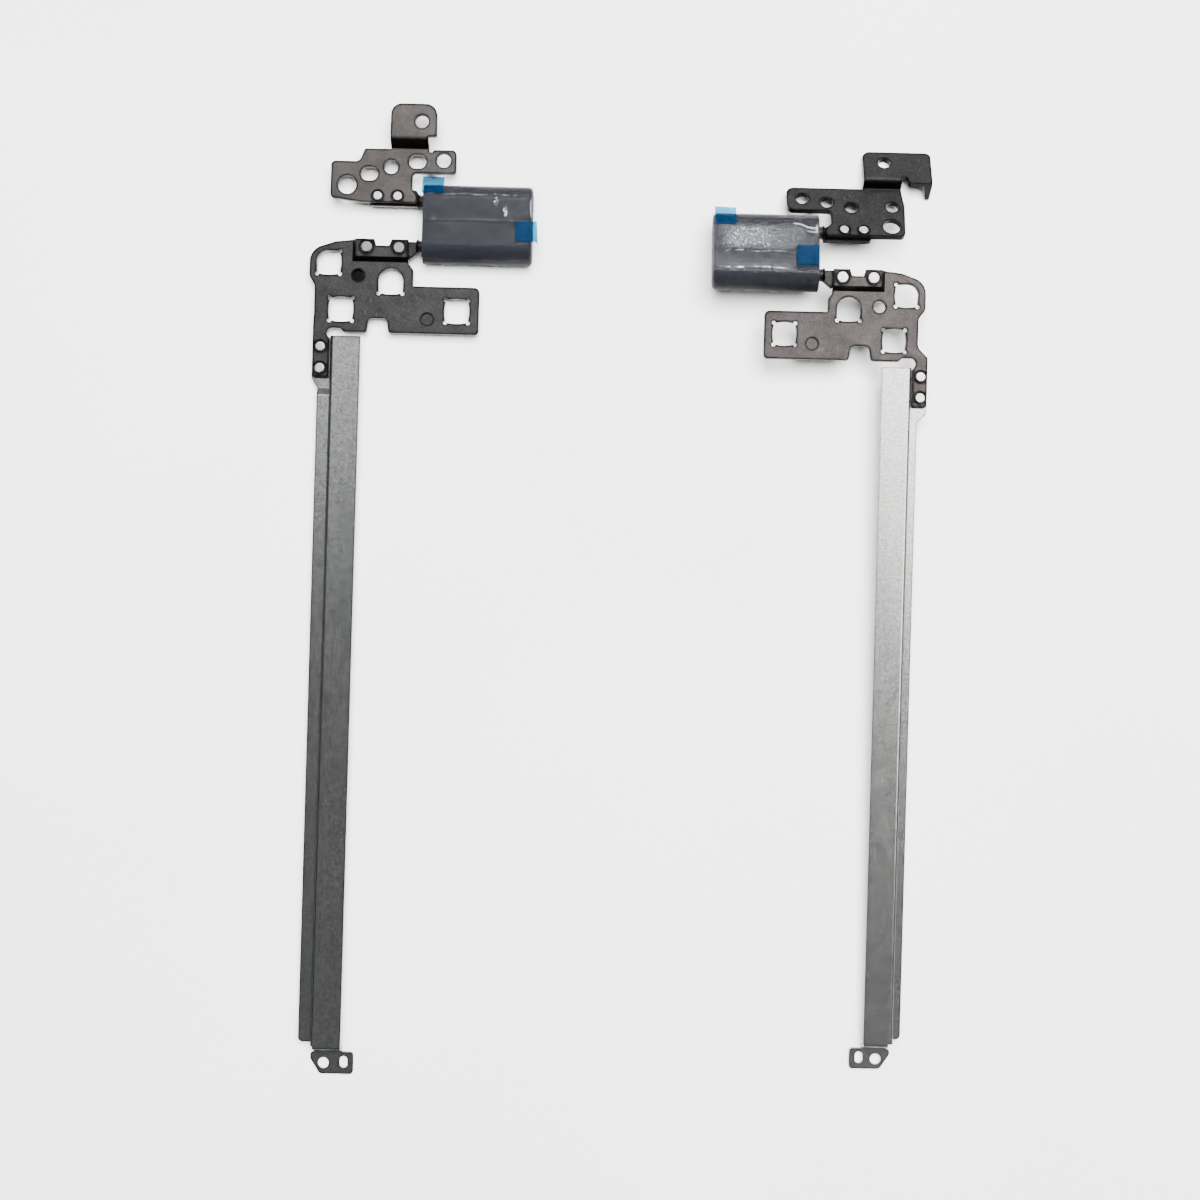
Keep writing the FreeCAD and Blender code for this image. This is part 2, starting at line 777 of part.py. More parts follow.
def blade_outline(hinge, family):
    """Flattened end of a shaft, seen from above."""
    value = hinge.size
    far = value(f"{family}_rivet_far")
    near = value(f"{family}_rivet_near")
    if family == "base":
        y = value("base_rivet_y")
        end = -far - 1.55
        return [
            (end, y - size("base_blade_reach"), 0.5),
            (-1.1, y - size("base_blade_reach"), 0.2),
            (-1.1, y + 0.6, 0.2),
            (-value("base_end") - 0.3, y + 1.5, 0.4),
            (end, y + 1.5, 0.5),
        ]
    end = -far - 1.25
    notch = size("land_notch") - 0.25
    return [
        (end, -1.6, 0.4),
        (-value("land_near") - 0.1, -1.6, 0.1),
        (-value("land_near") + 0.1, -2.7, 0.3),
        (-1.1, -1.2, 0.9),
        (-1.1, 1.0, 0.2),
        (-near - 1.4, 1.0, 0.3),
        (-near - 1.9, notch, 0.3),
        (-far + 1.9, notch, 0.3),
        (-far + 1.4, 1.0, 0.3),
        (end, 1.0, 0.4),
    ]


# Lid brackets: a low plate with a raised rivet land, square holes and a strap down the rail

def lid_bracket(hinge):
    value = hinge.size
    body = new_body(hinge.label("lid_bracket"), group_placement(hinge, "lid"))
    bottom = value("lid_bottom")
    outer = value("lid_outer")
    strap_outer = value("strap_outer")
    strap_inner = value("strap_inner")
    far = value("land_far") + size("land_slope")
    plate = [
        (-far, size("lid_top"), 0),
        (-far - 3.4, size("lid_top") - 0.4, 3.0),
        (-outer, -0.9, 3.2),
        (-outer, -6.3, 1.5),
        (-value("lid_waist"), -7.9, 1.5),
        (-value("lid_waist"), value("strap_step"), 2.0),
        (-strap_outer, value("strap_step") - 1.9, 0.8),
        (-strap_outer, value("strap_end"), 0.5),
        (-strap_inner, value("strap_end"), 0.5),
        (-strap_inner, bottom - 1.5, 0.4),
        (-strap_inner - 0.7, bottom - 0.4, 0.5),
        (-strap_inner - 0.1, bottom + 0.75, 0.8),
        (-strap_inner + 2.1, bottom + 0.75, 0.5),
        (-strap_inner + 2.8, bottom, 0.5),
        (-10.9, bottom, 0.5),
        (-10.5, bottom + 2.85, 0.9),
        (-6.9, bottom + 2.85, 0.9),
        (-6.5, bottom, 0.5),
        (value("lid_arm_u"), bottom, 0.8),
        (value("lid_arm_u"), value("lid_arm_top"), 1.0),
        (-value("lid_inner"), value("lid_arm_top"), 0.3),
        (-value("lid_inner"), -4.5, 1.0),
        (-value("land_near"), -3.3, 0.4),
        (-value("land_near"), size("lid_top"), 0),
    ]
    level = "Sizes.blade_top - Sizes.land_rise"
    pad(body, "plate", "XY_Plane", outline(hinge.flat(plate)), level, "Sizes.plate_thickness")
    rivet_land(hinge, body)
    half = value("square_hole") / 2
    arch_half = half + size("arch_hole_extra")
    for name, reach, rounding in (("corner_hole", half, (0, 0, 0, half * 0.88)),
                                  ("arch_hole", arch_half, (0, 0, arch_half, arch_half)),
                                  ("strap_hole", half, (0, 0, 0, 0)),
                                  ("bar_hole", half, (0, 0, 0, 0))):
        holes(body, name, clip_hole(hinge, name, reach, rounding), level, "Sizes.plate_thickness")
    for name, depth in (("deep_dimple", hinge.cell("deep_dimple_depth")),
                        ("shallow_dimple", "Sizes.shallow_dimple_depth")):
        pocket(body, name, "XY_Plane", ring(*spot(hinge, name), size("dimple_radius")),
               f"{level} + Sizes.plate_thickness", depth)
    rivet_holes(hinge, body, "lid")
    rivet_rings(hinge, body, "lid", "Sizes.blade_top + Sizes.plate_thickness")
    edges = []
    for u, y in rivet_places(hinge, "rail"):
        edges += ring(hinge.direction * u, y, size("rail_rivet_radius"))
    holes(body, "strap_holes", edges, level, "Sizes.plate_thickness")
    rivet_rings(hinge, body, "rail", f"{level} + Sizes.plate_thickness")
    return body


def clip_hole(hinge, name, half, rounding):
    """Square hole for a moulded clip: sides that bulge out, and a round relief at each corner.

    rounding has one radius for each corner, from the near low one; zero keeps the relief.
    """
    x, y = spot(hinge, name)
    bulge = size("clip_hole_bulge")
    notch = size("ear_notch")
    signs = [(-1, -1), (1, -1), (1, 1), (-1, 1)]
    corners = []
    for (across_sign, along_sign), radius in zip(signs, rounding):
        reach = half if radius else half - bulge
        corners.append(FreeCAD.Vector(x + hinge.direction * across_sign * reach,
                                      y + along_sign * reach, 0))
    middle = FreeCAD.Vector(x, y, 0)
    starts = []
    ends = []
    edges = []
    for index, corner in enumerate(corners):
        before = (corners[index - 1] - corner).normalize()
        after = (corners[(index + 1) % 4] - corner).normalize()
        radius = rounding[index] or notch
        outward = (corner - middle).normalize()
        starts.append(corner + before * radius)
        ends.append(corner + after * radius)
        if rounding[index]:
            inside = corner + (before + after) * radius
            top = inside + outward * radius
        else:
            top = corner + outward * radius
        edges.append(Part.Arc(starts[-1], top, ends[-1]))
    for index in range(4):
        following = (index + 1) % 4
        first, last = ends[index], starts[following]
        if first.distanceToPoint(last) < 1e-6:
            continue
        if rounding[index] or rounding[following]:
            edges.append(Part.LineSegment(first, last))
            continue
        centre = (first + last) / 2
        out = (centre - middle).normalize()
        edges.append(Part.Arc(first, centre + out * bulge, last))
    return edges


def rivet_land(hinge, body):
    """Pressed land over the shaft blade: a tapered block less the same block one sheet lower."""
    value = hinge.size
    thickness = size("plate_thickness")
    low = size("blade_top") - size("land_rise")
    slope = size("land_slope")
    near = -value("land_near")
    far = -value("land_far")
    south = value("land_low")
    north = size("lid_top")
    inset = size("land_inset")
    wedge(hinge, body, "PartDesign::AdditiveWedge", "land",
          (far - slope, near), (south - slope, north), (far, near), (south, north),
          low + thickness, low + thickness + size("land_rise"))
    wedge(hinge, body, "PartDesign::SubtractiveWedge", "land_under",
          (far - slope + inset, near + 1), (south - slope + inset, north + 1),
          (far + inset, near + 1), (south + inset, north + 1), low - 0.001, size("blade_top"))
    notch = size("land_notch")
    first, second = rivet_places(hinge, "lid")
    cut = [
        (first[0] - 1.45, north + 1, 0),
        (first[0] - 1.45, north, 0),
        (first[0] - 1.9, notch, 0.3),
        (second[0] + 1.9, notch, 0.3),
        (second[0] + 1.45, north, 0),
        (second[0] + 1.45, north + 1, 0),
    ]
    holes(body, "land_notch", outline(hinge.flat(cut)), "Sizes.blade_top",
          "Sizes.plate_thickness")


def wedge(hinge, body, kind, tag, u_low, y_low, u_high, y_high, bottom, top):
    """Tapered block between two levels. Its own Y stands up and its own Z points to -Y."""
    feature = body.newObject(kind, f"{body.Name}_{tag}")
    low = sorted(hinge.direction * u for u in u_low)
    high = sorted(hinge.direction * u for u in u_high)
    feature.Xmin, feature.Xmax = low
    feature.X2min, feature.X2max = high
    feature.Zmin, feature.Zmax = -y_low[1], -y_low[0]
    feature.Z2min, feature.Z2max = -y_high[1], -y_high[0]
    feature.Ymin, feature.Ymax = bottom, top
    feature.Placement = FreeCAD.Placement(FreeCAD.Vector(), FreeCAD.Rotation(FreeCAD.Vector(1, 0, 0), 90))
    doc.recompute()
    return feature


# Panel rails: a long folded strip with an outer flange, a pad under the strap and a screw ear

def panel_rail(hinge):
    value = hinge.size
    body = new_body(hinge.label("panel_rail"), group_placement(hinge, "lid"))
    sheet_thickness = size("rail_thickness")
    top = size("rail_face_top")
    under = top - sheet_thickness
    inner = value("face_inner")
    outer = value("face_outer")
    bend = size("rail_bend")
    flange = size("flange_level")
    start = value("face_top_y")
    face = [
        (-inner, under, 0),
        (-inner, top, 0),
        (-outer, top, bend),
        (-outer, flange, 0),
        (-outer + sheet_thickness, flange, 0),
        (-outer + sheet_thickness, under, 0.1),
    ]
    length = f"{hinge.cell('face_top_y')} - {hinge.cell('face_end')}"
    pad(body, "face", "XZ_Plane", outline(hinge.flat(face)), f"-{hinge.cell('face_top_y')}", length)
    joggle = -size("joggle_start")
    joggle_end = joggle - size("joggle_length")
    flange_outer = value("flange_outer")
    pad(body, "flange", "XY_Plane", outline(hinge.flat([
        (-outer + sheet_thickness, joggle_end - 0.1, 0),
        (-flange_outer, joggle_end - 0.1, 0),
        (-flange_outer, value("flange_end"), 0.9),
        (-outer + sheet_thickness, value("flange_end"), 0),
    ])), "Sizes.flange_level", "Sizes.rail_thickness")
    joggle_band = step_band(joggle_end, joggle, flange, size("pad_level") - flange,
                            sheet_thickness, size("bend_radius"), 0.4)
    pad_along_u(hinge, body, "joggle", joggle_band, f"-{hinge.cell('flange_outer')}",
                f"{hinge.cell('flange_outer')} - {hinge.cell('face_outer')} + Sizes.rail_thickness")
    strap_outer = value("strap_outer")
    pad_inner = -outer + sheet_thickness
    pad(body, "strap_pad", "XY_Plane", outline(hinge.flat([
        (pad_inner, start - 0.1, 0),
        (-strap_outer - 0.15, start - 0.1, 0.4),
        (-strap_outer - 0.15, joggle + 1.8, 1.0),
        (-flange_outer, joggle + 0.1, 0),
        (pad_inner, joggle + 0.1, 0),
    ])), "Sizes.pad_level", "Sizes.rail_thickness")
    foot_wall = outline(hinge.flat([
        (-outer, flange + 0.2, 0),
        (-outer + sheet_thickness, flange + 0.2, 0),
        (-outer + sheet_thickness, size("pad_level"), 0),
        (-outer, size("pad_level"), 0),
    ]))
    pad(body, "pad_wall", "XZ_Plane", foot_wall, f"0.1 - {hinge.cell('face_top_y')}",
        f"Sizes.joggle_start + {hinge.cell('face_top_y')} - 0.2")
    ear(hinge, body)
    edges = []
    for u, y in rivet_places(hinge, "rail"):
        edges += ring(hinge.direction * u, y, size("rail_rivet_radius"))
    holes(body, "rivet_holes", edges, "Sizes.pad_level", "Sizes.rail_thickness")
    return body


def ear(hinge, body):
    """Screw ear at the far end, stepped down to the table."""
    value = hinge.size
    sheet_thickness = size("rail_thickness")
    under = size("rail_face_top") - sheet_thickness
    face_end = value("face_end")
    low_start = face_end - size("ear_drop_length")
    outer = value("ear_outer")
    inner = value("ear_inner")
    end = low_start - value("ear_depth")
    drop = step_band(low_start, face_end - 0.02, size("ear_level"), under - size("ear_level"),
                     sheet_thickness, size("ear_bend_radius"), 0.4)
    neck_outer = f"({hinge.cell('ear_outer')} - 0.7)"
    neck_inner = f"({hinge.cell('ear_inner')} + {hinge.cell('ear_shoulder')})"
    pad_along_u(hinge, body, "ear_drop", drop, f"-{neck_outer}", f"{neck_outer} - {neck_inner}")
    pad(body, "ear", "XY_Plane", outline(hinge.flat([
        (-outer, low_start - 0.25, 0.5),
        (-outer, end + 2.9, 1.5),
        (-outer + 1.9, end, 1.0),
        (-inner, end, 0.7),
        (-inner, low_start - 0.2, 0.7),
        (-inner - value("ear_shoulder"), low_start - 0.2, 0.1),
        (-inner - value("ear_shoulder"), low_start - 0.02, 0),
        (-outer + 0.7, low_start - 0.02, 0),
        (-outer + 0.7, low_start - 0.25, 0.1),
    ])), "Sizes.ear_level", "Sizes.rail_thickness")
    middle = low_start - value("ear_depth") / 2
    direction = hinge.direction
    edges = ring(-value("ear_hole_u") * direction, middle - 0.15, size("ear_hole_radius"))
    edges += oblong(-value("ear_slot_u") * direction, middle + 0.1, size("ear_slot_length"),
                    size("ear_slot_width"), upright=True)
    holes(body, "ear_holes", edges, "Sizes.ear_level", "Sizes.rail_thickness")


# Cover with the film and its pull tabs

def cover(hinge):
    body = new_body(hinge.label("cover"), group_placement(hinge, "housing"))
    radius = size("cover_radius")
    pad_along_u(hinge, body, "shell", stadium(0, axis_spacing, radius), "0",
                hinge.cell("cover_length"))
    pocket_along_u(hinge, body, "hollow", stadium(0, axis_spacing, radius - size("cover_wall")), "0",
                   f"{hinge.cell('cover_length')} - Sizes.cover_wall")
    far_end = hinge.direction * hinge.size("cover_length")
    round_edges(body, "end", "Sizes.cover_end_round",
                lambda box: abs(box.XMin - far_end) < 1e-4 and abs(box.XMax - far_end) < 1e-4)
    return body


def film(hinge):
    """Clear protective film over the top of the cover, down to a little above the middle."""
    body = new_body(hinge.label("film"), group_placement(hinge, "housing"))
    inside = size("cover_radius")
    outside = inside + size("film_thickness")
    height = size("film_edge_height")
    low_angle = math.asin(height / inside)

    def on_arc(center, radius, angle):
        return FreeCAD.Vector(center + radius * math.cos(angle), radius * math.sin(angle), 0)

    far = math.pi - low_angle
    edges = []
    for radius in (inside, outside):
        first = on_arc(0, radius, far)
        first_top = on_arc(0, radius, math.pi / 2)
        last_top = on_arc(axis_spacing, radius, math.pi / 2)
        last = on_arc(axis_spacing, radius, low_angle)
        edges.append(Part.Arc(first, on_arc(0, radius, (far + math.pi / 2) / 2), first_top))
        edges.append(Part.LineSegment(first_top, last_top))
        edges.append(Part.Arc(last_top, on_arc(axis_spacing, radius, (low_angle + math.pi / 2) / 2),
                              last))
    for center, angle in ((0, far), (axis_spacing, low_angle)):
        edges.append(Part.LineSegment(on_arc(center, inside, angle), on_arc(center, outside, angle)))
    pad_along_u(hinge, body, "wrap", edges, "0.1", f"{hinge.cell('cover_length')} - 0.8")
    return body


def top_tab(hinge):
    """Pull tab stuck to the film's shoulder, with a flap past the base side of the cover."""
    body = new_body(hinge.label("film_tab_top"), group_placement(hinge, "housing"))
    inside = size("cover_radius") + size("film_thickness")
    outside = inside + size("tab_thickness")
    rise = size("tab_rise")
    top = math.radians(80)

    def on_film(radius, angle):
        return FreeCAD.Vector(axis_spacing + radius * math.cos(angle), radius * math.sin(angle), 0)

    edges = []
    for radius, level in ((inside, rise), (outside, rise + size("tab_thickness"))):
        low = math.asin(level / radius)
        tip = FreeCAD.Vector(axis_spacing + size("tab_reach"), level, 0)
        edges.append(Part.Arc(on_film(radius, top), on_film(radius, (top + low) / 2),
                              on_film(radius, low)))
        edges.append(Part.LineSegment(on_film(radius, low), tip))
    edges.append(Part.LineSegment(on_film(inside, top), on_film(outside, top)))
    edges.append(Part.LineSegment(FreeCAD.Vector(axis_spacing + size("tab_reach"), rise, 0), tip))
    pad_along_u(hinge, body, "flap", edges, hinge.cell("top_tab_u"), "Sizes.tab_width")
    return body


def side_tab(hinge):
    """Pull tab that lies flat on the film."""
    body = new_body(hinge.label("film_tab_side"), group_placement(hinge, "housing"))
    u = hinge.size("side_tab_u")
    y = hinge.size("side_tab_y")
    width = size("tab_width")
    corners = [(u, y, 0.3), (u + width, y, 0.3), (u + width, y + width, 0.3), (u, y + width, 0.3)]
    pad(body, "flap", "XY_Plane", outline(hinge.flat(corners)),
        "Sizes.cover_radius + Sizes.film_thickness", "Sizes.tab_thickness")
    return body


# Pieces inside the cover

def bearing_plate(hinge, name, start, thickness, pin_holes):
    body = new_body(hinge.label(name), group_placement(hinge, "housing"))
    radius = size("cover_radius") - size("cover_wall") - size("plate_fit")
    bore = size("neck_radius") + size("running_gap")
    edges = stadium(0, axis_spacing, radius)
    edges += ring(0, 0, bore) + ring(axis_spacing, 0, bore)
    if pin_holes:
        for y in idler_places():
            edges += ring(y, 0, size("idler_pin_radius"))
    pad_along_u(hinge, body, "plate", edges, start, thickness)
    return body


def idler_places():
    first = shaft_gear_radius + idler_radius
    return [first, first + 2 * idler_radius]


def idler_pins(hinge):
    """Two short pins held in the front and middle plates."""
    places = stack_places(hinge)
    body = new_body(hinge.label("idler_pins"), group_placement(hinge, "housing"))
    edges = []
    for y in idler_places():
        edges += ring(y, 0, size("idler_pin_radius"))
    start = places["front_plate"]
    length = f"{places['middle_plate']} + Sizes.middle_plate_thickness - {start}"
    pad_along_u(hinge, body, "pins", edges, start, length)
    return body


def gear_edges(teeth, bore, offset):
    """Involute spur gear outline, with one tooth on the first axis when offset is zero."""
    module = size("gear_module")
    pitch_radius = module * teeth / 2
    base_radius = pitch_radius * math.cos(math.radians(PRESSURE_ANGLE))
    tip = pitch_radius + TOOTH_TOP * module
    root = pitch_radius - TOOTH_FOOT * module
    tooth = math.pi * module / 2 - size("tooth_backlash")

    def involute(angle):
        return math.tan(angle) - angle

    def half_angle(radius):
        roll = math.acos(min(1.0, base_radius / radius))
        at_pitch = involute(math.radians(PRESSURE_ANGLE))
        return tooth / (2 * pitch_radius) + at_pitch - involute(roll)

    def point(radius, angle):
        return FreeCAD.Vector(radius * math.cos(angle), radius * math.sin(angle), 0)

    flank_start = max(base_radius, root)
    flank_middle = (flank_start + tip) / 2
    step = 2 * math.pi / teeth
    edges = []
    for index in range(teeth):
        center = (index + offset) * step
        low = half_angle(flank_start)
        middle = half_angle(flank_middle)
        high = half_angle(tip)
        for side in (-1, 1):
            edges.append(Part.LineSegment(point(root, center + side * low),
                                          point(flank_start, center + side * low)))
            edges.append(Part.Arc(point(flank_start, center + side * low),
                                  point(flank_middle, center + side * middle),
                                  point(tip, center + side * high)))
        edges.append(Part.Arc(point(tip, center - high), point(tip, center), point(tip, center + high)))
        gap = center + step / 2
        edges.append(Part.Arc(point(root, center + low), point(root, gap),
                              point(root, center + step - low)))
    return edges + ring(0, 0, bore)


def gear(hinge, name, group, teeth, bore, offset):
    body = new_body(hinge.label(name), group_placement(hinge, group))
    pad_along_u(hinge, body, "teeth", gear_edges(int(teeth), bore, offset), "Sizes.gear_start",
                "Sizes.gear_width")
    return body


def friction_clips(hinge):
    """Stack of spring-steel clips, each gripping both shafts with a slit ring."""
    places = stack_places(hinge)
    body = new_body(hinge.label("friction_clips"), group_placement(hinge, "housing"))
    outer = size("clip_ring")
    bore = size("neck_radius") + size("running_gap")
    half_web = size("clip_web") / 2
    half_slit = size("clip_slit") / 2
    spread = math.sqrt(outer ** 2 - half_web ** 2)
    slit_out = math.sqrt(outer ** 2 - half_slit ** 2)
    slit_in = math.sqrt(bore ** 2 - half_slit ** 2)

    def at(y, z):
        return FreeCAD.Vector(y, z, 0)

    far = axis_spacing
    edges = [
        Part.LineSegment(at(spread, half_web), at(far - spread, half_web)),
        Part.LineSegment(at(spread, -half_web), at(far - spread, -half_web)),
    ]
    for center, facing in ((0, 1), (far, -1)):
        edges.append(Part.Arc(at(center + facing * spread, half_web), at(center, outer),
                              at(center - facing * slit_out, half_slit)))
        edges.append(Part.Arc(at(center + facing * spread, -half_web), at(center, -outer),
                              at(center - facing * slit_out, -half_slit)))
        edges.append(Part.LineSegment(at(center - facing * slit_out, half_slit),
                                      at(center - facing * slit_in, half_slit)))
        edges.append(Part.LineSegment(at(center - facing * slit_out, -half_slit),
                                      at(center - facing * slit_in, -half_slit)))
        edges.append(Part.Arc(at(center - facing * slit_in, half_slit), at(center + facing * bore, 0),
                              at(center - facing * slit_in, -half_slit)))
    clip = pad_along_u(hinge, body, "clip", edges, places["clips"], "Sizes.clip_thickness")
    return row_of(hinge, body, clip, "Sizes.clip_count", "Sizes.clip_pitch")


def row_of(hinge, body, feature, count, pitch):
    """Repeat a feature along u."""
    pattern = body.newObject("PartDesign::LinearPattern", f"{body.Name}_row")
    pattern.Originals = [feature]
    axis = next(item for item in body.Origin.OriginFeatures if item.Role == "X_Axis")
    pattern.Direction = (axis, [""])
    pattern.Reversed = hinge.direction < 0
    pattern.Mode = "Spacing"
    pattern.setExpression("Occurrences", count)
    pattern.setExpression("Offset", pitch)
    body.Tip = pattern
    doc.recompute()
    return body


def disc_springs(hinge, family):
    """Cupped spring washers stacked face to face in turn."""
    body = new_body(hinge.label(f"{family}_disc_springs"), group_placement(hinge, family))
    inner = size("thread_radius") + 0.1
    outer = size("washer_radius")
    rise = size("spring_rise")
    thick = size("spring_sheet")
    start = place(hinge, "springs")
    for index in range(int(size("spring_count"))):
        low = start + index * (thick + rise)
        inner_low, outer_low = (low + rise, low) if index % 2 == 0 else (low, low + rise)
        cup = [(inner_low, inner, 0), (outer_low, outer, 0), (outer_low + thick, outer, 0),
               (inner_low + thick, inner, 0)]
        revolved(body, f"cup{index}", [(hinge.direction * u, r, 0) for u, r, _ in cup])
    return body


def washer(hinge, family):
    body = new_body(hinge.label(f"{family}_washer"), group_placement(hinge, family))
    edges = ring(0, 0, size("washer_radius")) + ring(0, 0, size("thread_radius"))
    pad_along_u(hinge, body, "disc", edges, stack_places(hinge)["washer"], "Sizes.washer_thickness")
    return body


def nut(hinge, family):
    body = new_body(hinge.label(f"{family}_nut"), group_placement(hinge, family))
    radius = size("nut_width") / math.sqrt(3)
    corners = []
    for index in range(6):
        angle = math.radians(60 * index + 30)
        corners.append((radius * math.cos(angle), radius * math.sin(angle), 0))
    edges = outline(corners) + ring(0, 0, size("thread_radius"))
    pad_along_u(hinge, body, "hex", edges, stack_places(hinge)["nut"], "Sizes.nut_thickness")
    return body


# The whole pair

def build_hinge(hinge, base_bracket):
    places = stack_places(hinge)
    land = "(Sizes.blade_top + Sizes.plate_thickness)"
    blade_under = "(Sizes.blade_top - Sizes.blade_thickness)"
    strap_top = "(Sizes.blade_top - Sizes.land_rise + Sizes.plate_thickness)"
    running_bore = size("idler_pin_radius") + size("running_gap")
    return [
        lid_bracket(hinge),
        panel_rail(hinge),
        shaft(hinge, "lid"),
        rivets(hinge, "lid", "lid", blade_under, land),
        rivets(hinge, "rail", "lid", "Sizes.pad_level", strap_top),
        gear(hinge, "lid_gear", "lid", size("shaft_gear_teeth"), size("neck_radius"), 0),
        washer(hinge, "lid"),
        disc_springs(hinge, "lid"),
        nut(hinge, "lid"),
        cover(hinge),
        bearing_plate(hinge, "front_plate", places["front_plate"], "Sizes.front_plate_thickness",
                      True),
        bearing_plate(hinge, "middle_plate", places["middle_plate"],
                      "Sizes.middle_plate_thickness", True),
        bearing_plate(hinge, "back_plate", places["back_plate"], "Sizes.back_plate_thickness",
                      False),
        idler_pins(hinge),
        friction_clips(hinge),
        film(hinge),
        top_tab(hinge),
        side_tab(hinge),
        gear(hinge, "idler_a", "idler_a", size("idler_teeth"), running_bore, 0),
        gear(hinge, "idler_b", "idler_b", size("idler_teeth"), running_bore, 0),
        base_bracket(hinge),
        shaft(hinge, "base"),
        rivets(hinge, "base", "base", blade_under, land),
        gear(hinge, "base_gear", "base", size("shaft_gear_teeth"), size("neck_radius"), 0.5),
        washer(hinge, "base"),
        disc_springs(hinge, "base"),
        nut(hinge, "base"),
    ]


def check_document(bodies):
    """Stop with a plain message if anything failed or a cut removed nothing."""
    for item in doc.Objects:
        if "Invalid" in item.State or "Error" in item.State:
            raise RuntimeError(f"{item.Name} failed: {item.State}")
        if item.isDerivedFrom("PartDesign::Pocket"):
            before = item.BaseFeature.Shape.Volume
            if before - item.Shape.Volume < 1e-6:
                raise RuntimeError(f"{item.Name} cuts nothing")
    for body in bodies:
        shape = body.Shape
        if shape.isNull() or not shape.isValid() or not shape.Solids:
            raise RuntimeError(f"{body.Label} has no sound shape")


pieces = build_hinge(LEFT, left_base_bracket) + build_hinge(RIGHT, right_base_bracket)
doc.recompute()
check_document(pieces)
os.makedirs("parts", exist_ok=True)
for piece in pieces:
    piece.Shape.exportStep(os.path.join("parts", f"{piece.Label}.step"))
    box = piece.Shape.BoundBox
    print(f"{piece.Label}: {len(piece.Shape.Solids)} solids, {piece.Shape.Volume:.2f} mm3, "
          f"x {box.XMin:.2f} to {box.XMax:.2f}, y {box.YMin:.2f} to {box.YMax:.2f}, "
          f"z {box.ZMin:.2f} to {box.ZMax:.2f}")
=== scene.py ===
"""Looks of the laptop hinge pair: camera, light, materials, protective films and pull tabs."""
import json
import math

import bpy
from mathutils import Matrix, Vector, noise


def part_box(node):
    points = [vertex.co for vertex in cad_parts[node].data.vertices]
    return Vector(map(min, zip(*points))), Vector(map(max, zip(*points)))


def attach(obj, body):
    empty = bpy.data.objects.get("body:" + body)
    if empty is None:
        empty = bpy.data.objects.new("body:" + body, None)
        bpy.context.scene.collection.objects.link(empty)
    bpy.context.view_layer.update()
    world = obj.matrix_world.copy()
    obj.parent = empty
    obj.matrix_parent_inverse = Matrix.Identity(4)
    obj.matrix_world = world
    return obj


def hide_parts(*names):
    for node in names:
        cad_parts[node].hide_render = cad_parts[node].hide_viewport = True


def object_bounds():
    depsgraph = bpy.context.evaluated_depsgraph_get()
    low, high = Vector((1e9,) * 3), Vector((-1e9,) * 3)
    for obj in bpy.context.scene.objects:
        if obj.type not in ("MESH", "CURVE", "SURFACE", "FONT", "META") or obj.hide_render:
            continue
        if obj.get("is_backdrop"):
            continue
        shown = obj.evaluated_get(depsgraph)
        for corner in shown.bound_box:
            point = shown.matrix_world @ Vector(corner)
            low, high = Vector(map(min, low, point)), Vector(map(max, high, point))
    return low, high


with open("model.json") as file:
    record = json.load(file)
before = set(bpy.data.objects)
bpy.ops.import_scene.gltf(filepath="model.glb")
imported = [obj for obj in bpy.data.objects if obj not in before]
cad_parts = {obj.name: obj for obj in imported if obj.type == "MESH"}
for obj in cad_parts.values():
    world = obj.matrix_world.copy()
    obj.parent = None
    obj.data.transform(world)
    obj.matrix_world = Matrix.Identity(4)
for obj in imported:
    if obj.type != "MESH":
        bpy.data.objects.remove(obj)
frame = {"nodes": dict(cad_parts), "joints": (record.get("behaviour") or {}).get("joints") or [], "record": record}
cad_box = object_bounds()

MM = 0.001
SIDES = {"left": 1.0, "right": -1.0}
COVER_RADIUS = 3.3
AXIS_SPACING = 9.0
FILM_LIFT = 0.07
FILM_GRID = (260, 200)
FILM_SETBACK = 0.08
TAB_THICKNESS = 0.09
TAB_GRID = (48, 48)
CAMERA_PLACE = (-2.028, -8.3, 341.8)
HALF_PICTURE = 600
FOCAL_LENGTH = 1712
FLOOR_REACH = 2.4
FLOOR_LEVEL = -0.00005
BACKDROP_STEPS = 96
BACKDROP_RINGS = ((0.3, 0.0005), (0.6, 0.004), (0.85, 0.012), (0.97, 0.04), (1.0, 0.12), (1.0, 3.0))


# Camera, as far above the table as the photograph was taken

def camera():
    pitch = math.radians(1.26)
    roll = math.radians(1.46)
    right = Vector((math.cos(roll), math.sin(roll), 0))
    level_up = Vector((-math.sin(roll), math.cos(roll), 0))
    up = level_up * math.cos(pitch) + Vector((0, 0, math.sin(pitch)))
    back = Vector((0, 0, math.cos(pitch))) - level_up * math.sin(pitch)
    data = bpy.data.cameras.new("camera")
    data.sensor_fit = "HORIZONTAL"
    data.angle = 2 * math.atan(HALF_PICTURE / FOCAL_LENGTH)
    data.clip_start = 0.01
    data.clip_end = 20
    view = bpy.data.objects.new("camera", data)
    turn = Matrix((right, up, back)).transposed().to_4x4()
    view.matrix_world = Matrix.Translation(Vector(CAMERA_PLACE) * MM) @ turn
    bpy.context.scene.collection.objects.link(view)
    bpy.context.scene.camera = view


# Floor and light

def area_light(name, lean, turn, reach, width, height, power):
    """Softbox that leans from straight up towards a compass turn, 0 being +Y and 90 being +X."""
    lean = math.radians(lean)
    turn = math.radians(turn)
    sideways = reach * math.sin(lean)
    place = Vector((sideways * math.sin(turn), sideways * math.cos(turn), reach * math.cos(lean)))
    data = bpy.data.lights.new(name, "AREA")
    data.shape = "RECTANGLE"
    data.size = width
    data.size_y = height
    data.energy = power
    light = bpy.data.objects.new(name, data)
    light.location = place
    light.rotation_euler = (-place).to_track_quat("-Z", "Y").to_euler()
    bpy.context.scene.collection.objects.link(light)
    return light


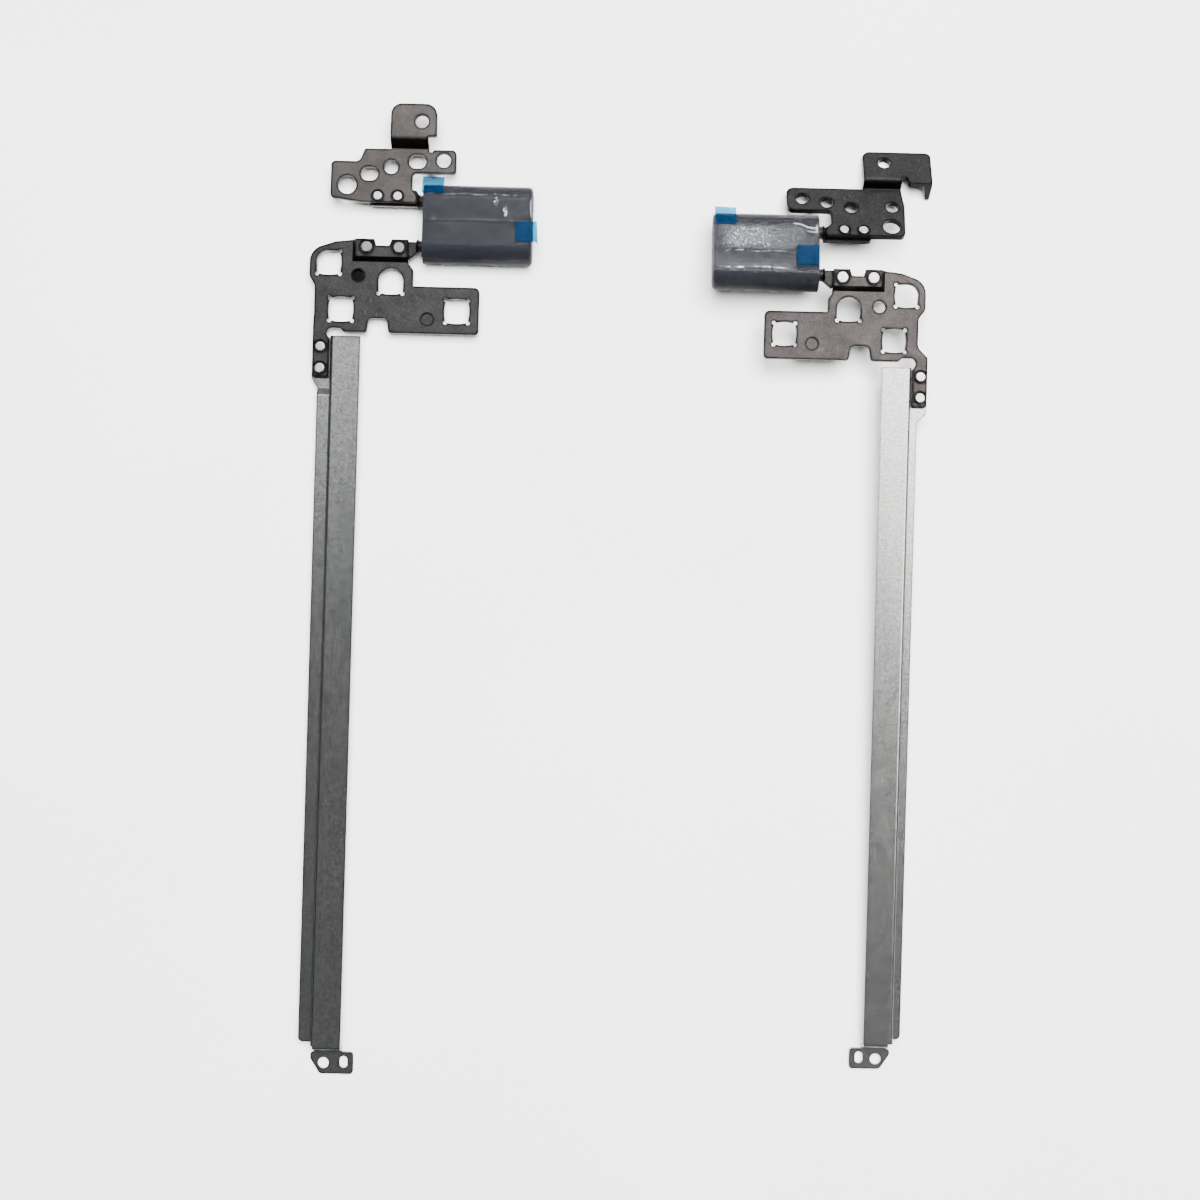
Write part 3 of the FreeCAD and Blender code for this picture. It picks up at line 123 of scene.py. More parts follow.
def backdrop(radius):
    """Pale round sweep that rises far behind the object, in no reflection or shadow of it."""
    mesh = bpy.data.meshes.new("backdrop")
    steps = BACKDROP_STEPS
    points = []
    for share, height in BACKDROP_RINGS:
        for step in range(steps):
            angle = 2 * math.pi * step / steps
            reach = radius * share
            points.append((reach * math.cos(angle), reach * math.sin(angle), height))
    faces = []
    for ring in range(len(BACKDROP_RINGS) - 1):
        first = ring * steps
        for step in range(steps):
            after = (step + 1) % steps
            faces.append((first + step, first + after, first + after + steps, first + step + steps))
    mesh.from_pydata(points, [], faces)
    sweep = bpy.data.objects.new("backdrop", mesh)
    bpy.context.scene.collection.objects.link(sweep)
    shade = Shade("pale_backdrop")
    distance = shade.node("ShaderNodeVectorMath", operation="LENGTH")
    shade.join(shade.coordinates, distance.inputs[0])
    shade.join(shade.levels(distance.outputs["Value"], 0.32 * radius, 0.95 * radius, 0, 1),
               shade.body.inputs["Alpha"])
    tone = shade.ramp(shade.noise(0.6, 1), [(0.3, (0.60, 0.60, 0.60)), (0.7, (0.66, 0.66, 0.66))])
    shade.join(tone, shade.body.inputs["Emission Color"])
    shade.body.inputs["Emission Strength"].default_value = 1.0
    shade.finish((0.02, 0.02, 0.02), roughness=1.0, specular=0.0)
    mesh.materials.append(shade.material)
    for rays in ("diffuse", "glossy", "transmission", "shadow"):
        setattr(sweep, f"visible_{rays}", False)
    sweep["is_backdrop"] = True


def floor_and_light():
    mesh = bpy.data.meshes.new("floor")
    corners = []
    for x, y in ((-1, -1), (1, -1), (1, 1), (-1, 1)):
        corners.append((x * FLOOR_REACH, y * FLOOR_REACH, FLOOR_LEVEL))
    mesh.from_pydata(corners, [], [(0, 1, 2, 3)])
    floor = bpy.data.objects.new("floor", mesh)
    bpy.context.scene.collection.objects.link(floor)
    shade = Shade("pale_floor")
    tone = shade.ramp(shade.noise(9, 2), [(0.35, (0.90, 0.90, 0.90)), (0.65, (0.94, 0.94, 0.94))])
    shade.finish(tone, roughness=0.75, specular=0.2)
    mesh.materials.append(shade.material)
    floor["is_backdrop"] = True
    backdrop(FLOOR_REACH)
    world = bpy.data.worlds.new("studio")
    world.use_nodes = True
    sky = world.node_tree.nodes["Background"]
    sky.inputs["Color"].default_value = (0.94, 0.97, 1.0, 1)
    sky.inputs["Strength"].default_value = 0.07
    bpy.context.scene.world = world
    key = area_light("overhead_softbox", 13, 22, 0.95, 0.62, 0.62, 51)
    key.visible_glossy = False
    card = area_light("north_east_card", 31, 45, 0.9, 1.0, 0.70, 18)
    card.visible_diffuse = False
    strip = area_light("north_strip", 68, 0, 0.9, 1.4, 0.25, 3)
    strip.visible_diffuse = False
    side_card = area_light("north_west_card", 27, -28, 0.9, 0.5, 0.5, 1.1)
    side_card.visible_diffuse = False


# Materials

def scaled(color, factor):
    return tuple(part * factor for part in color)


class Shade:
    """A node material that is put together step by step."""

    def __init__(self, name):
        self.material = bpy.data.materials.new(name)
        self.material.use_nodes = True
        self.tree = self.material.node_tree
        self.body = self.tree.nodes["Principled BSDF"]
        self.coordinates = self.node("ShaderNodeTexCoord").outputs["Object"]

    def node(self, kind, **settings):
        made = self.tree.nodes.new(kind)
        for key, value in settings.items():
            setattr(made, key, value)
        return made

    def join(self, source, target):
        if hasattr(source, "is_output"):
            self.tree.links.new(source, target)
        else:
            target.default_value = source

    def stretched(self, scale):
        mapping = self.node("ShaderNodeMapping")
        mapping.inputs["Scale"].default_value = scale
        self.join(self.coordinates, mapping.inputs["Vector"])
        return mapping.outputs["Vector"]

    def noise(self, scale, detail=3, roughness=0.55, stretch=None):
        made = self.node("ShaderNodeTexNoise")
        made.inputs["Scale"].default_value = scale
        made.inputs["Detail"].default_value = detail
        made.inputs["Roughness"].default_value = roughness
        self.join(self.stretched(stretch) if stretch else self.coordinates, made.inputs["Vector"])
        return made.outputs["Fac"]

    def ramp(self, source, stops):
        made = self.node("ShaderNodeValToRGB")
        elements = made.color_ramp.elements
        while len(elements) < len(stops):
            elements.new(0.5)
        for element, (place, color) in zip(elements, stops):
            element.position = place
            element.color = tuple(color) + (1,) if len(color) == 3 else tuple(color)
        self.join(source, made.inputs["Fac"])
        return made.outputs["Color"]

    def levels(self, source, low, high, new_low, new_high):
        made = self.node("ShaderNodeMapRange")
        for name, value in (("From Min", low), ("From Max", high), ("To Min", new_low),
                            ("To Max", new_high)):
            made.inputs[name].default_value = value
        self.join(source, made.inputs["Value"])
        return made.outputs["Result"]

    def math(self, operation, first, second=0.0):
        made = self.node("ShaderNodeMath", operation=operation)
        self.join(first, made.inputs[0])
        self.join(second, made.inputs[1])
        return made.outputs[0]

    def mix(self, factor, first, second, blend="MIX"):
        made = self.node("ShaderNodeMix", data_type="RGBA", blend_type=blend)
        self.join(factor, made.inputs["Factor"])
        for source, index in ((first, 6), (second, 7)):
            self.join(tuple(source) + (1,) if isinstance(source, tuple) else source,
                      made.inputs[index])
        return made.outputs[2]

    def edges(self, radius):
        """1 on sharp outer and inner edges, 0 on open faces; also the softened normal."""
        soft = self.node("ShaderNodeBevel", samples=4)
        soft.inputs["Radius"].default_value = radius * MM
        plain = self.node("ShaderNodeNewGeometry")
        dot = self.node("ShaderNodeVectorMath", operation="DOT_PRODUCT")
        self.join(soft.outputs["Normal"], dot.inputs[0])
        self.join(plain.outputs["Normal"], dot.inputs[1])
        turned = self.math("SUBTRACT", 1.0, dot.outputs["Value"])
        return self.levels(turned, 0.02, 0.28, 0, 1), soft.outputs["Normal"]

    def rims(self, reach):
        """1 along outer edges, falling to 0 at a distance inside them."""
        made = self.node("ShaderNodeAmbientOcclusion", samples=8, inside=True, only_local=True)
        made.inputs["Distance"].default_value = reach * MM
        return self.levels(made.outputs["AO"], 0.97, 0.6, 0, 1)

    def slants(self, facing):
        """1 on bends and cut edges of a sheet that faces one way, 0 on its flat faces."""
        normal = self.node("ShaderNodeTexCoord").outputs["Normal"]
        dot = self.node("ShaderNodeVectorMath", operation="DOT_PRODUCT")
        self.join(normal, dot.inputs[0])
        self.join(facing, dot.inputs[1])
        return self.levels(self.math("ABSOLUTE", dot.outputs["Value"]), 0.985, 0.84, 0, 1)

    def crevices(self, reach, most=0.95):
        """1 deep in grooves and inner corners, 0 in the open."""
        made = self.node("ShaderNodeAmbientOcclusion", samples=8)
        made.inputs["Distance"].default_value = reach * MM
        return self.levels(made.outputs["AO"], 0.80, 0.42, 0, most)

    def bump(self, height, distance, strength=1.0, normal=None):
        made = self.node("ShaderNodeBump")
        made.inputs["Strength"].default_value = strength
        made.inputs["Distance"].default_value = distance * MM
        self.join(height, made.inputs["Height"])
        if normal is not None:
            self.join(normal, made.inputs["Normal"])
        return made.outputs["Normal"]

    def finish(self, color, roughness=0.5, metallic=0.0, specular=0.5, normal=None):
        sockets = self.body.inputs
        self.join(color if not isinstance(color, tuple) else color + (1,), sockets["Base Color"])
        self.join(roughness, sockets["Roughness"])
        sockets["Metallic"].default_value = metallic
        sockets["Specular IOR Level"].default_value = specular
        if normal is not None:
            self.join(normal, sockets["Normal"])
        return self.material


def coated_steel(name, dark, light, worn, roughness, edge_shade_gaps, facing=None, depth=0.95):
    """Blackened pressed sheet: cloudy coating, fine grain, scuffs, and painted shade on edges, bends and crevices.
    """
    shade = Shade(name)
    cloud = shade.noise(300, 5, 0.62)
    tone = shade.ramp(cloud, [(0.3, dark), (0.7, light)])
    speck = shade.noise(2600, 2)
    tone = shade.mix(shade.levels(speck, 0.5, 0.8, 0, 0.16), tone, worn)
    scratches = shade.noise(1300, 3, stretch=(1, 0.3, 1))
    scuff = shade.math("MULTIPLY", shade.levels(scratches, 0.62, 0.72, 0, 0.2),
                       shade.levels(shade.noise(130, 2), 0.5, 0.65, 0, 1))
    tone = shade.mix(scuff, tone, worn)
    # Painted shade: edges are darkened towards this black, in a band broken by random gaps
    black = scaled(dark, 0.08)
    patches = shade.levels(shade.noise(330, 4, 0.7), 0.5, 0.66, 0.96, 0.96 - edge_shade_gaps)
    outline = shade.math("MULTIPLY", shade.levels(shade.rims(0.6), 0.25, 0.52, 0, 1), patches)
    tone = shade.mix(outline, tone, black)
    # Painted shade: bends and cut walls are drawn nearly black, as walls facing away from the light look
    if facing is not None:
        tone = shade.mix(shade.math("MULTIPLY", shade.slants(facing), 0.93), tone, black)
    # Painted shade in grooves, rivet rings and inner corners
    tone = shade.mix(shade.crevices(0.4, depth), tone, black)
    rough = shade.levels(shade.noise(700, 3), 0.3, 0.7, roughness - 0.07, roughness + 0.1)
    normal = shade.bump(shade.noise(2800, 3), 0.006, 0.5)
    return shade.finish(tone, rough, 0.8, 0.2, normal)


def zinc_sheet(name, dark, light, facing, shaded):
    """Galvanised strip: fine bright specks, drawn streaks along its length, dull patches, and painted shade on
    edges and bends.
    """
    shade = Shade(name)
    cloud = shade.noise(260, 4, stretch=(1, 0.3, 1))
    tone = shade.ramp(cloud, [(0.25, dark), (0.78, light)])
    specks = shade.noise(1900, 3, 0.75)
    tone = shade.mix(shade.levels(specks, 0.50, 0.62, 0, 0.45), tone, scaled(light, 1.3))
    tone = shade.mix(shade.levels(specks, 0.50, 0.38, 0, 0.55), tone, scaled(dark, 0.65))
    streak = shade.noise(1500, 3, stretch=(1, 0.02, 1))
    tone = shade.mix(shade.levels(streak, 0.5, 0.75, 0, 0.18), tone, scaled(light, 1.3))
    # Painted shade: edges, bends and walls are darkened towards this black, as strongly as shaded says
    black = scaled(dark, 0.08)
    outline = shade.math("MULTIPLY", shade.levels(shade.rims(0.4), 0.3, 0.6, 0, 1), shaded)
    tone = shade.mix(outline, tone, black)
    tone = shade.mix(shade.math("MULTIPLY", shade.slants(facing), shaded), tone, black)
    rough = shade.levels(shade.noise(450, 3), 0.3, 0.7, 0.2, 0.23)
    normal = shade.bump(shade.noise(3800, 3), 0.0004, 0.6)
    return shade.finish(tone, rough, 0.95, normal=normal)


def plain_metal(name, dark, light, roughness):
    """Machined or stamped small metal: faint tool marks, dull film of oil, and painted highlights on its edges."""
    shade = Shade(name)
    tone = shade.ramp(shade.noise(660, 4), [(0.32, dark), (0.68, light)])
    marks = shade.noise(2200, 3)
    tone = shade.mix(shade.levels(marks, 0.5, 0.75, 0, 0.4), tone, scaled(dark, 0.55))
    # Painted highlight: edges are lightened as if catching the light
    edge, soft = shade.edges(0.1)
    tone = shade.mix(shade.math("MULTIPLY", edge, 0.45), tone, scaled(light, 1.3))
    rough = shade.levels(shade.noise(1100, 3), 0.3, 0.7, roughness - 0.06, roughness + 0.12)
    return shade.finish(tone, rough, 1.0, normal=shade.bump(marks, 0.01, 0.7, soft))


def cover_steel():
    """Dark slate lacquer on the folded cover, with painted highlights on its edges."""
    shade = Shade("cover_lacquer")
    dark = (0.0045, 0.0047, 0.007)
    light = (0.007, 0.0074, 0.0108)
    tone = shade.ramp(shade.noise(160, 3), [(0.3, dark), (0.7, light)])
    speck = shade.levels(shade.noise(5200, 2), 0.5, 0.8, 0, 0.3)
    tone = shade.mix(speck, tone, (0.018, 0.019, 0.023))
    # Painted highlight: the cover's edges are lightened as if catching the light
    edge, soft = shade.edges(0.15)
    tone = shade.mix(shade.math("MULTIPLY", edge, 0.35), tone, (0.08, 0.08, 0.09))
    rough = shade.levels(shade.noise(900, 3), 0.3, 0.7, 0.5, 0.64)
    normal = shade.bump(shade.noise(4200, 3), 0.01, 0.6, soft)
    return shade.finish(tone, rough, 0.0, 0.15, normal)


def clear_film(name, haze_low, haze_high):
    """Thin clear film: hazy where it lifts, with whitish painted highlights along its creases and seams."""
    shade = Shade(name)
    haze = shade.noise(900, 4, 0.65)
    # The shimmer mark holds painted highlights; they whiten the film and make it less clear
    shimmer = shade.node("ShaderNodeAttribute", attribute_name="shimmer").outputs["Fac"]
    tone = shade.ramp(haze, [(0.3, (0.013, 0.0135, 0.0175)), (0.7, (0.026, 0.027, 0.034))])
    tone = shade.mix(shimmer, tone, (0.62, 0.63, 0.68))
    veil = shade.levels(haze, 0.35, 0.72, haze_low, haze_high)
    glint = shade.math("MULTIPLY", shimmer, 0.6)
    shade.join(shade.math("ADD", veil, glint), shade.body.inputs["Alpha"])
    rough = shade.levels(shade.noise(800, 2), 0.3, 0.7, 0.10, 0.24)
    normal = shade.bump(shade.noise(1300, 4, 0.6), 0.05, 0.5)
    return shade.finish(tone, rough, 0.0, 0.42, normal)


def blue_film():
    """Tinted pull tab that lets the white table through."""
    shade = Shade("blue_tab")
    cloud = shade.noise(380, 3)
    tone = shade.ramp(cloud, [(0.3, (0.001, 0.021, 0.068)), (0.7, (0.002, 0.032, 0.092))])
    glaze = shade.node("ShaderNodeBsdfTransparent")
    tint = shade.ramp(cloud, [(0.3, (0.26, 0.64, 0.81)), (0.7, (0.34, 0.71, 0.87))])
    shade.join(tint, glaze.inputs["Color"])
    blend = shade.node("ShaderNodeMixShader")
    blend.inputs["Fac"].default_value = 0.7
    normal = shade.bump(shade.noise(900, 3), 0.06, 0.5)
    shade.finish(tone, shade.levels(cloud, 0.3, 0.7, 0.16, 0.3), 0.0, 0.15, normal)
    output = shade.tree.nodes["Material Output"]
    shade.join(shade.body.outputs[0], blend.inputs[1])
    shade.join(glaze.outputs[0], blend.inputs[2])
    shade.join(blend.outputs[0], output.inputs["Surface"])
    return shade.material


def plate_facing(name):
    """The way that most of a bracket's upper side faces."""
    areas = {}
    for face in frame["nodes"][name].data.polygons:
        if face.normal.z > 0:
            way = tuple(round(part, 2) for part in face.normal)
            areas[way] = areas.get(way, 0.0) + face.area
    return tuple(Vector(max(sorted(areas), key=areas.get)).normalized())


def dress_cad_nodes():
    # The left and right copies of each bracket, and the two rails, are the same steel given different base tones:
    # painted lighter and darker for how the light falls on each
    looks = {
        "left_base_steel": coated_steel("left_base_finish", (0.035, 0.0322, 0.031),
                                        (0.057, 0.052, 0.0495), (0.16, 0.15, 0.145), 0.38, 0.3,
                                        facing=plate_facing("left_base_bracket")),
        "left_lid_steel": coated_steel("left_lid_finish", (0.020, 0.0195, 0.0195),
                                       (0.033, 0.032, 0.032), (0.15, 0.145, 0.14), 0.36, 0.35,
                                       facing=plate_facing("left_lid_bracket"), depth=0.72),
        "right_base_steel": coated_steel("right_base_finish", (0.0165, 0.0162, 0.0162),
                                         (0.025, 0.0245, 0.0245), (0.15, 0.15, 0.15), 0.36, 0.3,
                                         facing=plate_facing("right_base_bracket")),
        "right_lid_steel": coated_steel("right_lid_finish", (0.032, 0.0281, 0.0274),
                                        (0.0545, 0.0485, 0.047), (0.20, 0.185, 0.18), 0.38, 0.35,
                                        facing=plate_facing("right_lid_bracket")),
        "left_rail_steel": zinc_sheet("left_rail_finish", (0.245, 0.249, 0.252),
                                      (0.30, 0.304, 0.308),
                                      plate_facing("left_panel_rail"), 0.9),
        "right_rail_steel": zinc_sheet("right_rail_finish", (0.35, 0.346, 0.338),
                                       (0.41, 0.406, 0.396),
                                       plate_facing("right_panel_rail"), 0.6),
        "shaft_steel": coated_steel("shaft_finish", (0.012, 0.0117, 0.0115),
                                    (0.022, 0.0213, 0.0206), (0.20, 0.196, 0.19), 0.32, 0.5),
        "rivet_steel": plain_metal("rivet_finish", (0.55, 0.54, 0.53), (0.74, 0.73, 0.72), 0.34),
        "gear_steel": plain_metal("gear_finish", (0.30, 0.29, 0.28), (0.42, 0.41, 0.40), 0.3),
        "spring_steel": plain_metal("spring_finish", (0.22, 0.21, 0.20), (0.34, 0.33, 0.31), 0.28),
        "idler_brass": plain_metal("idler_finish", (0.50, 0.36, 0.14), (0.66, 0.49, 0.21), 0.28),
        "cover_metal": cover_steel(),
    }
    slots = {}
    for part in frame["record"]["subparts"]:
        slots[part["node"]] = part["material_slot"]
    # The left screen-side rivets get a darker copy of the rivet steel
    dull = plain_metal("darker_rivet_finish", (0.18, 0.177, 0.168), (0.29, 0.286, 0.275), 0.36)
    for name, piece in frame["nodes"].items():
        look = looks.get(slots.get(name, ""))
        if name == "left_lid_rivets":
            look = dull
        if look is None:
            continue
        if not piece.data.materials:
            piece.data.materials.append(look)
        for index in range(len(piece.data.materials)):
            piece.data.materials[index] = look


# Films and pull tabs, built as thin sheets in each cover's own frame

class Housing:
    """Frame of one cover: u along the shafts from its mouth, y across, z up from the lid axis."""

    def __init__(self, side):
        self.side = side
        self.direction = SIDES[side]
        places = {}
        for joint in frame["joints"]:
            places[joint["name"]] = Vector(joint["pos_m"])
        lid_axis = places[f"{side}_housing_turn"]
        base_axis = places[f"{side}_base_turn"]
        low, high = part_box(f"{side}_cover")
        mouth = low[0] if self.direction > 0 else high[0]
        self.length = (high[0] - low[0]) / MM
        self.origin = Vector((mouth, lid_axis.y, lid_axis.z))
        self.across = (Vector((0, base_axis.y, base_axis.z))
                       - Vector((0, lid_axis.y, lid_axis.z))).normalized()
        self.up = Vector((0, -self.across.z, self.across.y))

    def point(self, u, y, z):
        along = Vector((self.direction * u, 0, 0))
        return self.origin + (along + self.across * y + self.up * z) * MM

    def on_wrap(self, travel, lift):
        """Point (y, z) at a distance along the cover's outline; 0 is over the lid axis."""
        radius = COVER_RADIUS + lift
        if travel < 0:
            angle = math.pi / 2 - travel / COVER_RADIUS
            return radius * math.cos(angle), radius * math.sin(angle)
        if travel < AXIS_SPACING:
            return travel, radius
        angle = math.pi / 2 - (travel - AXIS_SPACING) / COVER_RADIUS
        return AXIS_SPACING + radius * math.cos(angle), radius * math.sin(angle)


def smooth_step(value, low, high):
    t = max(0.0, min(1.0, (value - low) / (high - low)))
    return t * t * (3 - 2 * t)


def sheet(name, columns, rows, place):
    """Grid of quads; place(column, row) takes both as 0..1 and gives a point in metres."""
    mesh = bpy.data.meshes.new(name)
    points = []
    for row in range(rows + 1):
        for column in range(columns + 1):
            points.append(place(column / columns, row / rows))
    faces = []
    for row in range(rows):
        for column in range(columns):
            corner = row * (columns + 1) + column
            faces.append((corner, corner + 1, corner + columns + 2, corner + columns + 1))
    mesh.from_pydata(points, [], faces)
    for face in mesh.polygons:
        face.use_smooth = True
    piece = bpy.data.objects.new(name, mesh)
    bpy.context.scene.collection.objects.link(piece)
    return piece


def mark(piece, layer_name, columns, rows, value):
    """Point attribute on a sheet; value(column, row) takes both as 0..1."""
    layer = piece.data.attributes.new(layer_name, "FLOAT", "POINT")
    for index, entry in enumerate(layer.data):
        row, column = divmod(index, columns + 1)
        entry.value = value(column / columns, row / rows)


def thicken(piece, thickness):
    made = piece.modifiers.new("thickness", "SOLIDIFY")
    made.thickness = thickness * MM
    made.offset = 1 if piece.name.startswith("left") else -1


def crumple(u, travel, scale, seed):
    return noise.fractal(Vector((u * scale, travel * scale, seed)), 0.9, 2.1, 4)


def lap(travel, edge, height):
    """Step where one layer of film ends on the one below, with a thin raised lip."""
    lip = math.exp(-((travel - edge) / 0.16) ** 2)
    return height * smooth_step(edge, travel - 0.1, travel + 0.1) + 0.10 * lip


# Crumples of the films: place along u, place along the outline, size, height
LEFT_CRUMPLES = ((14.4, 8.75, 0.36, 0.30), (16.3, 6.55, 0.45, 0.34))
RIGHT_CRUMPLES = ((2.2, 8.6, 0.5, 0.30), (4.6, 9.3, 0.8, 0.18), (1.6, 6.8, 0.4, 0.25),
                  (6.0, 2.4, 0.6, 0.16))


def left_film_lift(u, travel):
    """Smooth film with one lapped seam, a lifted edge and two small crumples."""
    lift = FILM_LIFT + 0.012 * crumple(u, travel, 0.3, 3.1)
    lift += lap(travel + 0.05 * math.sin(u * 0.7), 4.6, 0.04)
    for place_u, place_y, size, height in LEFT_CRUMPLES:
        distance = ((u - place_u) / size) ** 2 + ((travel - place_y) / (size * 1.7)) ** 2
        lift += height * math.exp(-distance) * (0.4 + 1.2 * abs(crumple(u, travel, 2.4, 9.0)))
    lift += 0.22 * smooth_step(u, 20.9, 21.6) * (0.4 + abs(crumple(u, travel, 0.9, 5.0)))
    lift += 0.14 * smooth_step(travel, 9.6, 10.6) * (0.3 + abs(crumple(u, travel, 0.9, 7.0)))
    return lift


def right_film_lift(u, travel):
    """Loose film: finely crumpled over the middle, with two lapped seams near the lid side."""
    fine = abs(crumple(u, travel, 1.1, 4.4))
    finest = abs(crumple(u, travel, 3.2, 8.8))
    middle = smooth_step(travel, 0.6, 2.0) * smooth_step(9.0, travel - 1.5, travel + 1.0)
    patch = math.exp(-((u - 12.0) / 7.0) ** 2)
    lift = FILM_LIFT + 0.02 + (0.05 * fine + 0.05 * finest) * middle * (0.35 + patch)
    lift += 0.02 * abs(crumple(u, travel, 0.35, 1.7))
    lift += lap(travel + 0.12 * math.sin(u * 0.9), 3.25, 0.05)
    lift += lap(travel + 0.10 * math.sin(u * 0.6 + 1), -0.15, 0.05)
    for place_u, place_y, size, height in RIGHT_CRUMPLES:
        distance = ((u - place_u) / (size * 1.8)) ** 2 + ((travel - place_y) / size) ** 2
        lift += height * math.exp(-distance) * (0.4 + abs(crumple(u, travel, 1.8, 6.0)))
    return lift


def window(value, low, high, blur):
    return smooth_step(value, low, low + blur) * (1 - smooth_step(value, high - blur, high))


def streak(travel, edge, width):
    return math.exp(-((travel - edge) / width) ** 2)


def left_shimmer(u, travel):
    """Faint drawn lines, and painted highlights on lapped seams, a lifted end and a few glints."""
    drawn = max(0.0, noise.noise(Vector((u * 0.12, travel * 2.6, 4.0))))
    broken = max(0.0, 0.35 + crumple(u, 0.0, 0.7, 1.3))
    value = 0.04 * drawn * window(travel, -1.0, 10.5, 1.0)
    value += 0.07 * streak(travel, 5.0, 0.11) * window(u, 0.5, 18.0, 1.5)
    value += 0.05 * streak(travel, 4.2, 0.11) * window(u, 0.5, 14.0, 1.5)
    seam = streak(travel, 10.0 + 0.1 * math.sin(u), 0.14)
    value += 0.42 * broken * seam * window(u, 0.5, 21.4, 0.8)
    end = streak(u, 21.35 + 0.08 * math.sin(travel * 1.4), 0.16)
    value += 0.55 * end * window(travel, 5.2, 9.8, 1.2)
    for place_u, place_y, size, height in LEFT_CRUMPLES:
        distance = ((u - place_u) / size) ** 2 + ((travel - place_y) / (size * 2.2)) ** 2
        facets = max(0.0, 0.25 + 1.5 * crumple(u, travel, 2.4, 9.0))
        value += 1.4 * math.exp(-distance * distance) * facets
    return min(1.0, value)


def right_shimmer(u, travel):
    """Painted highlights: a sparkling crumpled patch, two broken bright seams and streaks near the mouth."""
    patch = window(travel, 3.5, 9.0, 1.2) * window(u, 0.8, 20.4, 5.0)
    patch *= 0.45 + 0.8 * smooth_step(u, 6, 14)
    grain = max(0.0, 0.15 + crumple(u, travel, 2.6, 8.8))
    fine = max(0.0, noise.noise(Vector((u * 5.0, travel * 5.0, 2.2))) - 0.1)
    value = patch * (0.04 + 0.24 * grain + 1.5 * fine)
    broken = max(0.0, 0.4 + 1.3 * crumple(u, 0.0, 0.8, 3.3))
    upper = streak(travel, 3.25 + 0.12 * math.sin(u * 0.9), 0.10)
    value += 0.5 * broken * upper * window(u, 4, 20.4, 2)
    lower = streak(travel, -0.15 + 0.10 * math.sin(u * 0.6 + 1), 0.13)
    value += 0.8 * broken * lower * window(u, 4.5, 20.6, 2)
    value += 0.10 * streak(travel, 0.1, 0.7) * window(u, 4.5, 20.6, 2)
    slanted = travel - 8.0 - 0.27 * (u - 0.3) - 0.12 * math.sin(u * 2.1)
    value += 0.7 * streak(slanted, 0.0, 0.14) * window(u, 0.2, 5.6, 1.0)
    value += 0.5 * streak(slanted, -0.8, 0.15) * window(u, 0.2, 2.6, 0.7)
    value += 0.6 * streak(u, 0.55, 0.2) * window(travel, 7.2, 9.2, 0.6)
    value += 0.04 * max(0.0, crumple(u, travel, 0.9, 1.0)) * window(travel, -1.5, 10.5, 1.0)
    return min(1.0, value)


def films():
    looks = {"left": clear_film("left_film_look", 0.18, 0.34),
             "right": clear_film("right_film_look", 0.26, 0.5)}
    lifts = {"left": left_film_lift, "right": right_film_lift}
    shimmers = {"left": left_shimmer, "right": right_shimmer}
    for side in SIDES:
        housing = Housing(side)
        start = -0.64 * COVER_RADIUS * math.pi / 2
        reach = AXIS_SPACING - start + 0.86 * COVER_RADIUS * math.pi / 2
        span = housing.length + 0.25
        columns, rows = FILM_GRID

        def place(column, row):
            u = FILM_SETBACK + span * column
            travel = start + reach * row
            return housing.point(u, *housing.on_wrap(travel, lifts[side](u, travel)))

        def shimmer(column, row):
            return shimmers[side](FILM_SETBACK + span * column, start + reach * row)

        piece = sheet(f"{side}_film_sheet", columns, rows, place)
        # The shimmer mark carries the film's painted highlights
        mark(piece, "shimmer", columns, rows, shimmer)
        piece.data.materials.append(looks[side])
        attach(piece, f"{side}_housing")
        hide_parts(f"{side}_film")


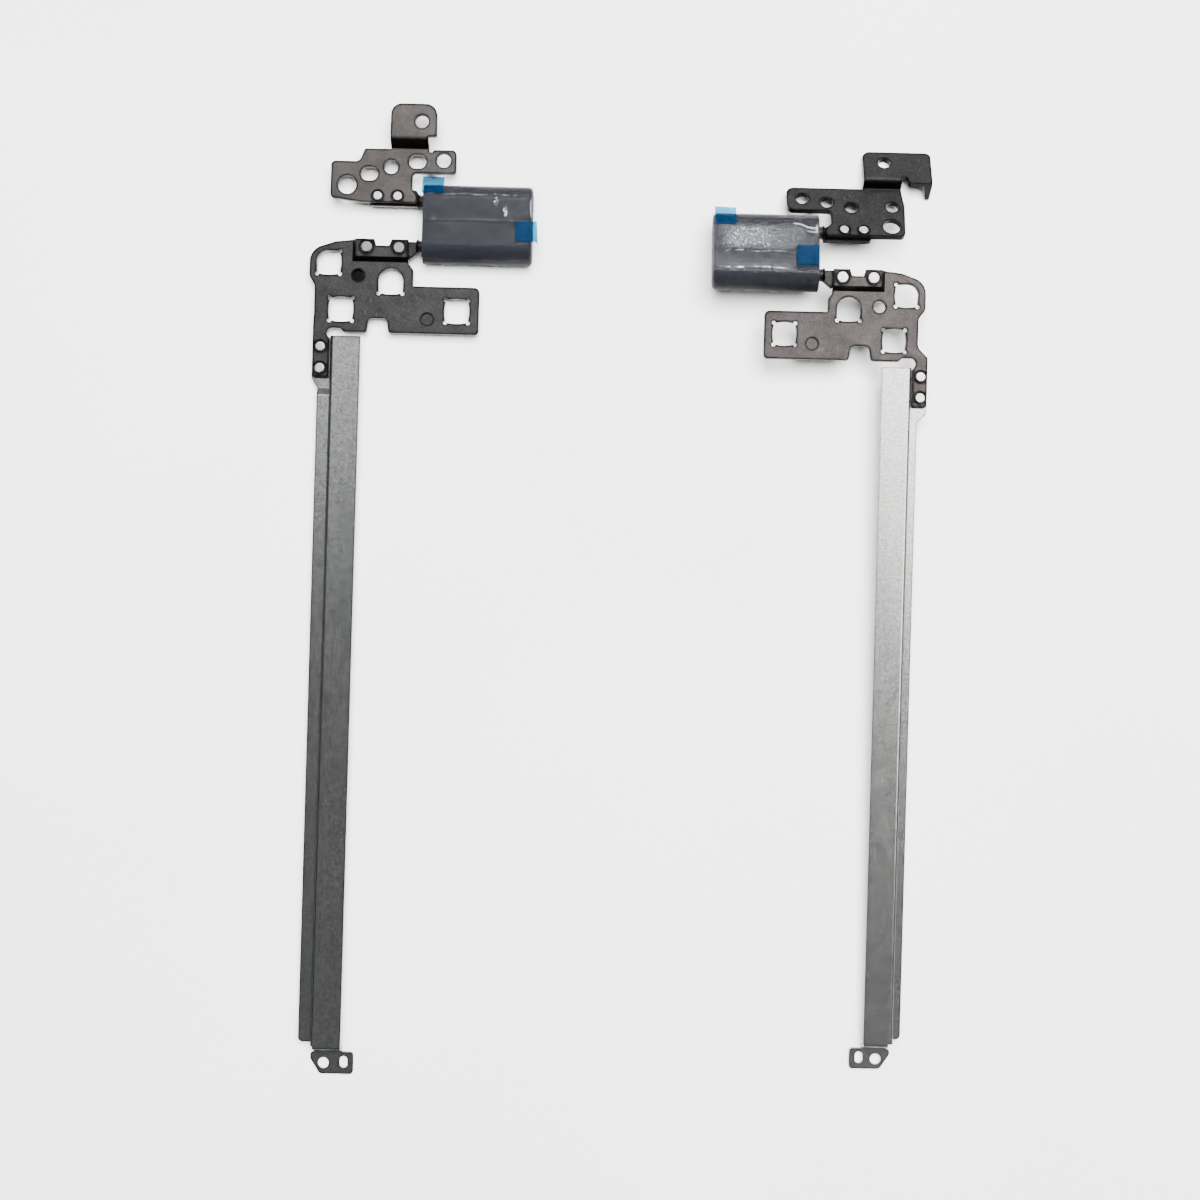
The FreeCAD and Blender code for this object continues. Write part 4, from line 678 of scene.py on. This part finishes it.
def top_tab_place(housing, first_u, width, start, reach):
    """Stuck on the film from start on, then straight out past the base side, a little curled."""
    def place(column, row):
        u = first_u + width * column
        contact = AXIS_SPACING + 2.6
        travel = start + (contact - start + reach) * row
        wave = 0.04 * crumple(u, travel, 0.8, 2.0)
        lift = FILM_LIFT + 0.20 + wave
        if travel < contact:
            return housing.point(u, *housing.on_wrap(travel, lift))
        y, z = housing.on_wrap(contact, lift)
        out = travel - contact
        fall = 0.30 + 0.12 * out
        sag = 0.05 * out * math.sin(u * 1.1 + housing.direction)
        return housing.point(u, y + out * math.cos(fall), z - out * math.sin(fall) + sag)
    return place


def tabs():
    look = blue_film()
    left = Housing("left")
    right = Housing("right")

    def left_side(column, row):
        along = 5.1 * column
        y = 0.8 + 3.95 * row
        wave = 0.06 * abs(crumple(along, y, 0.9, 6.0))
        if along < 3.2:
            return left.point(18.4 + along, y, COVER_RADIUS + FILM_LIFT + 0.24 + wave)
        bend = (along - 3.2) / 1.9
        u = 21.6 + 1.1 * math.sin(bend * 1.9) * (0.8 + 0.25 * (1 - row))
        z = COVER_RADIUS + 0.30 + 0.42 * math.sin(bend * 3.3) - 0.9 * bend * bend
        return left.point(u, y - 0.35 * bend * (1 - row), z + wave)

    def right_side(column, row):
        u = 0.15 + 4.3 * column
        y = 0.4 + 4.1 * row
        wave = 0.14 * abs(crumple(u, y, 0.7, 8.0)) + 0.05 * abs(crumple(u, y, 2.0, 2.5))
        return right.point(u, y, COVER_RADIUS + FILM_LIFT + 0.48 + wave)

    left_top = top_tab_place(left, -0.25, 4.25, 10.0, 2.8)
    right_top = top_tab_place(right, 16.2, 4.15, 8.8, 2.0)
    makings = {
        "left_pull_tab_top": ("left", left_top, "left_film_tab_top"),
        "left_pull_tab_side": ("left", left_side, "left_film_tab_side"),
        "right_pull_tab_top": ("right", right_top, "right_film_tab_top"),
        "right_pull_tab_side": ("right", right_side, "right_film_tab_side"),
    }
    for name, (side, place, node) in makings.items():
        piece = sheet(name, *TAB_GRID, place)
        thicken(piece, TAB_THICKNESS)
        piece.data.materials.append(look)
        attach(piece, f"{side}_housing")
        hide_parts(node)


camera()
floor_and_light()
dress_cad_nodes()
films()
tabs()

boxes = [[list(map(float, corner)) for corner in box] for box in (cad_box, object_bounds())]
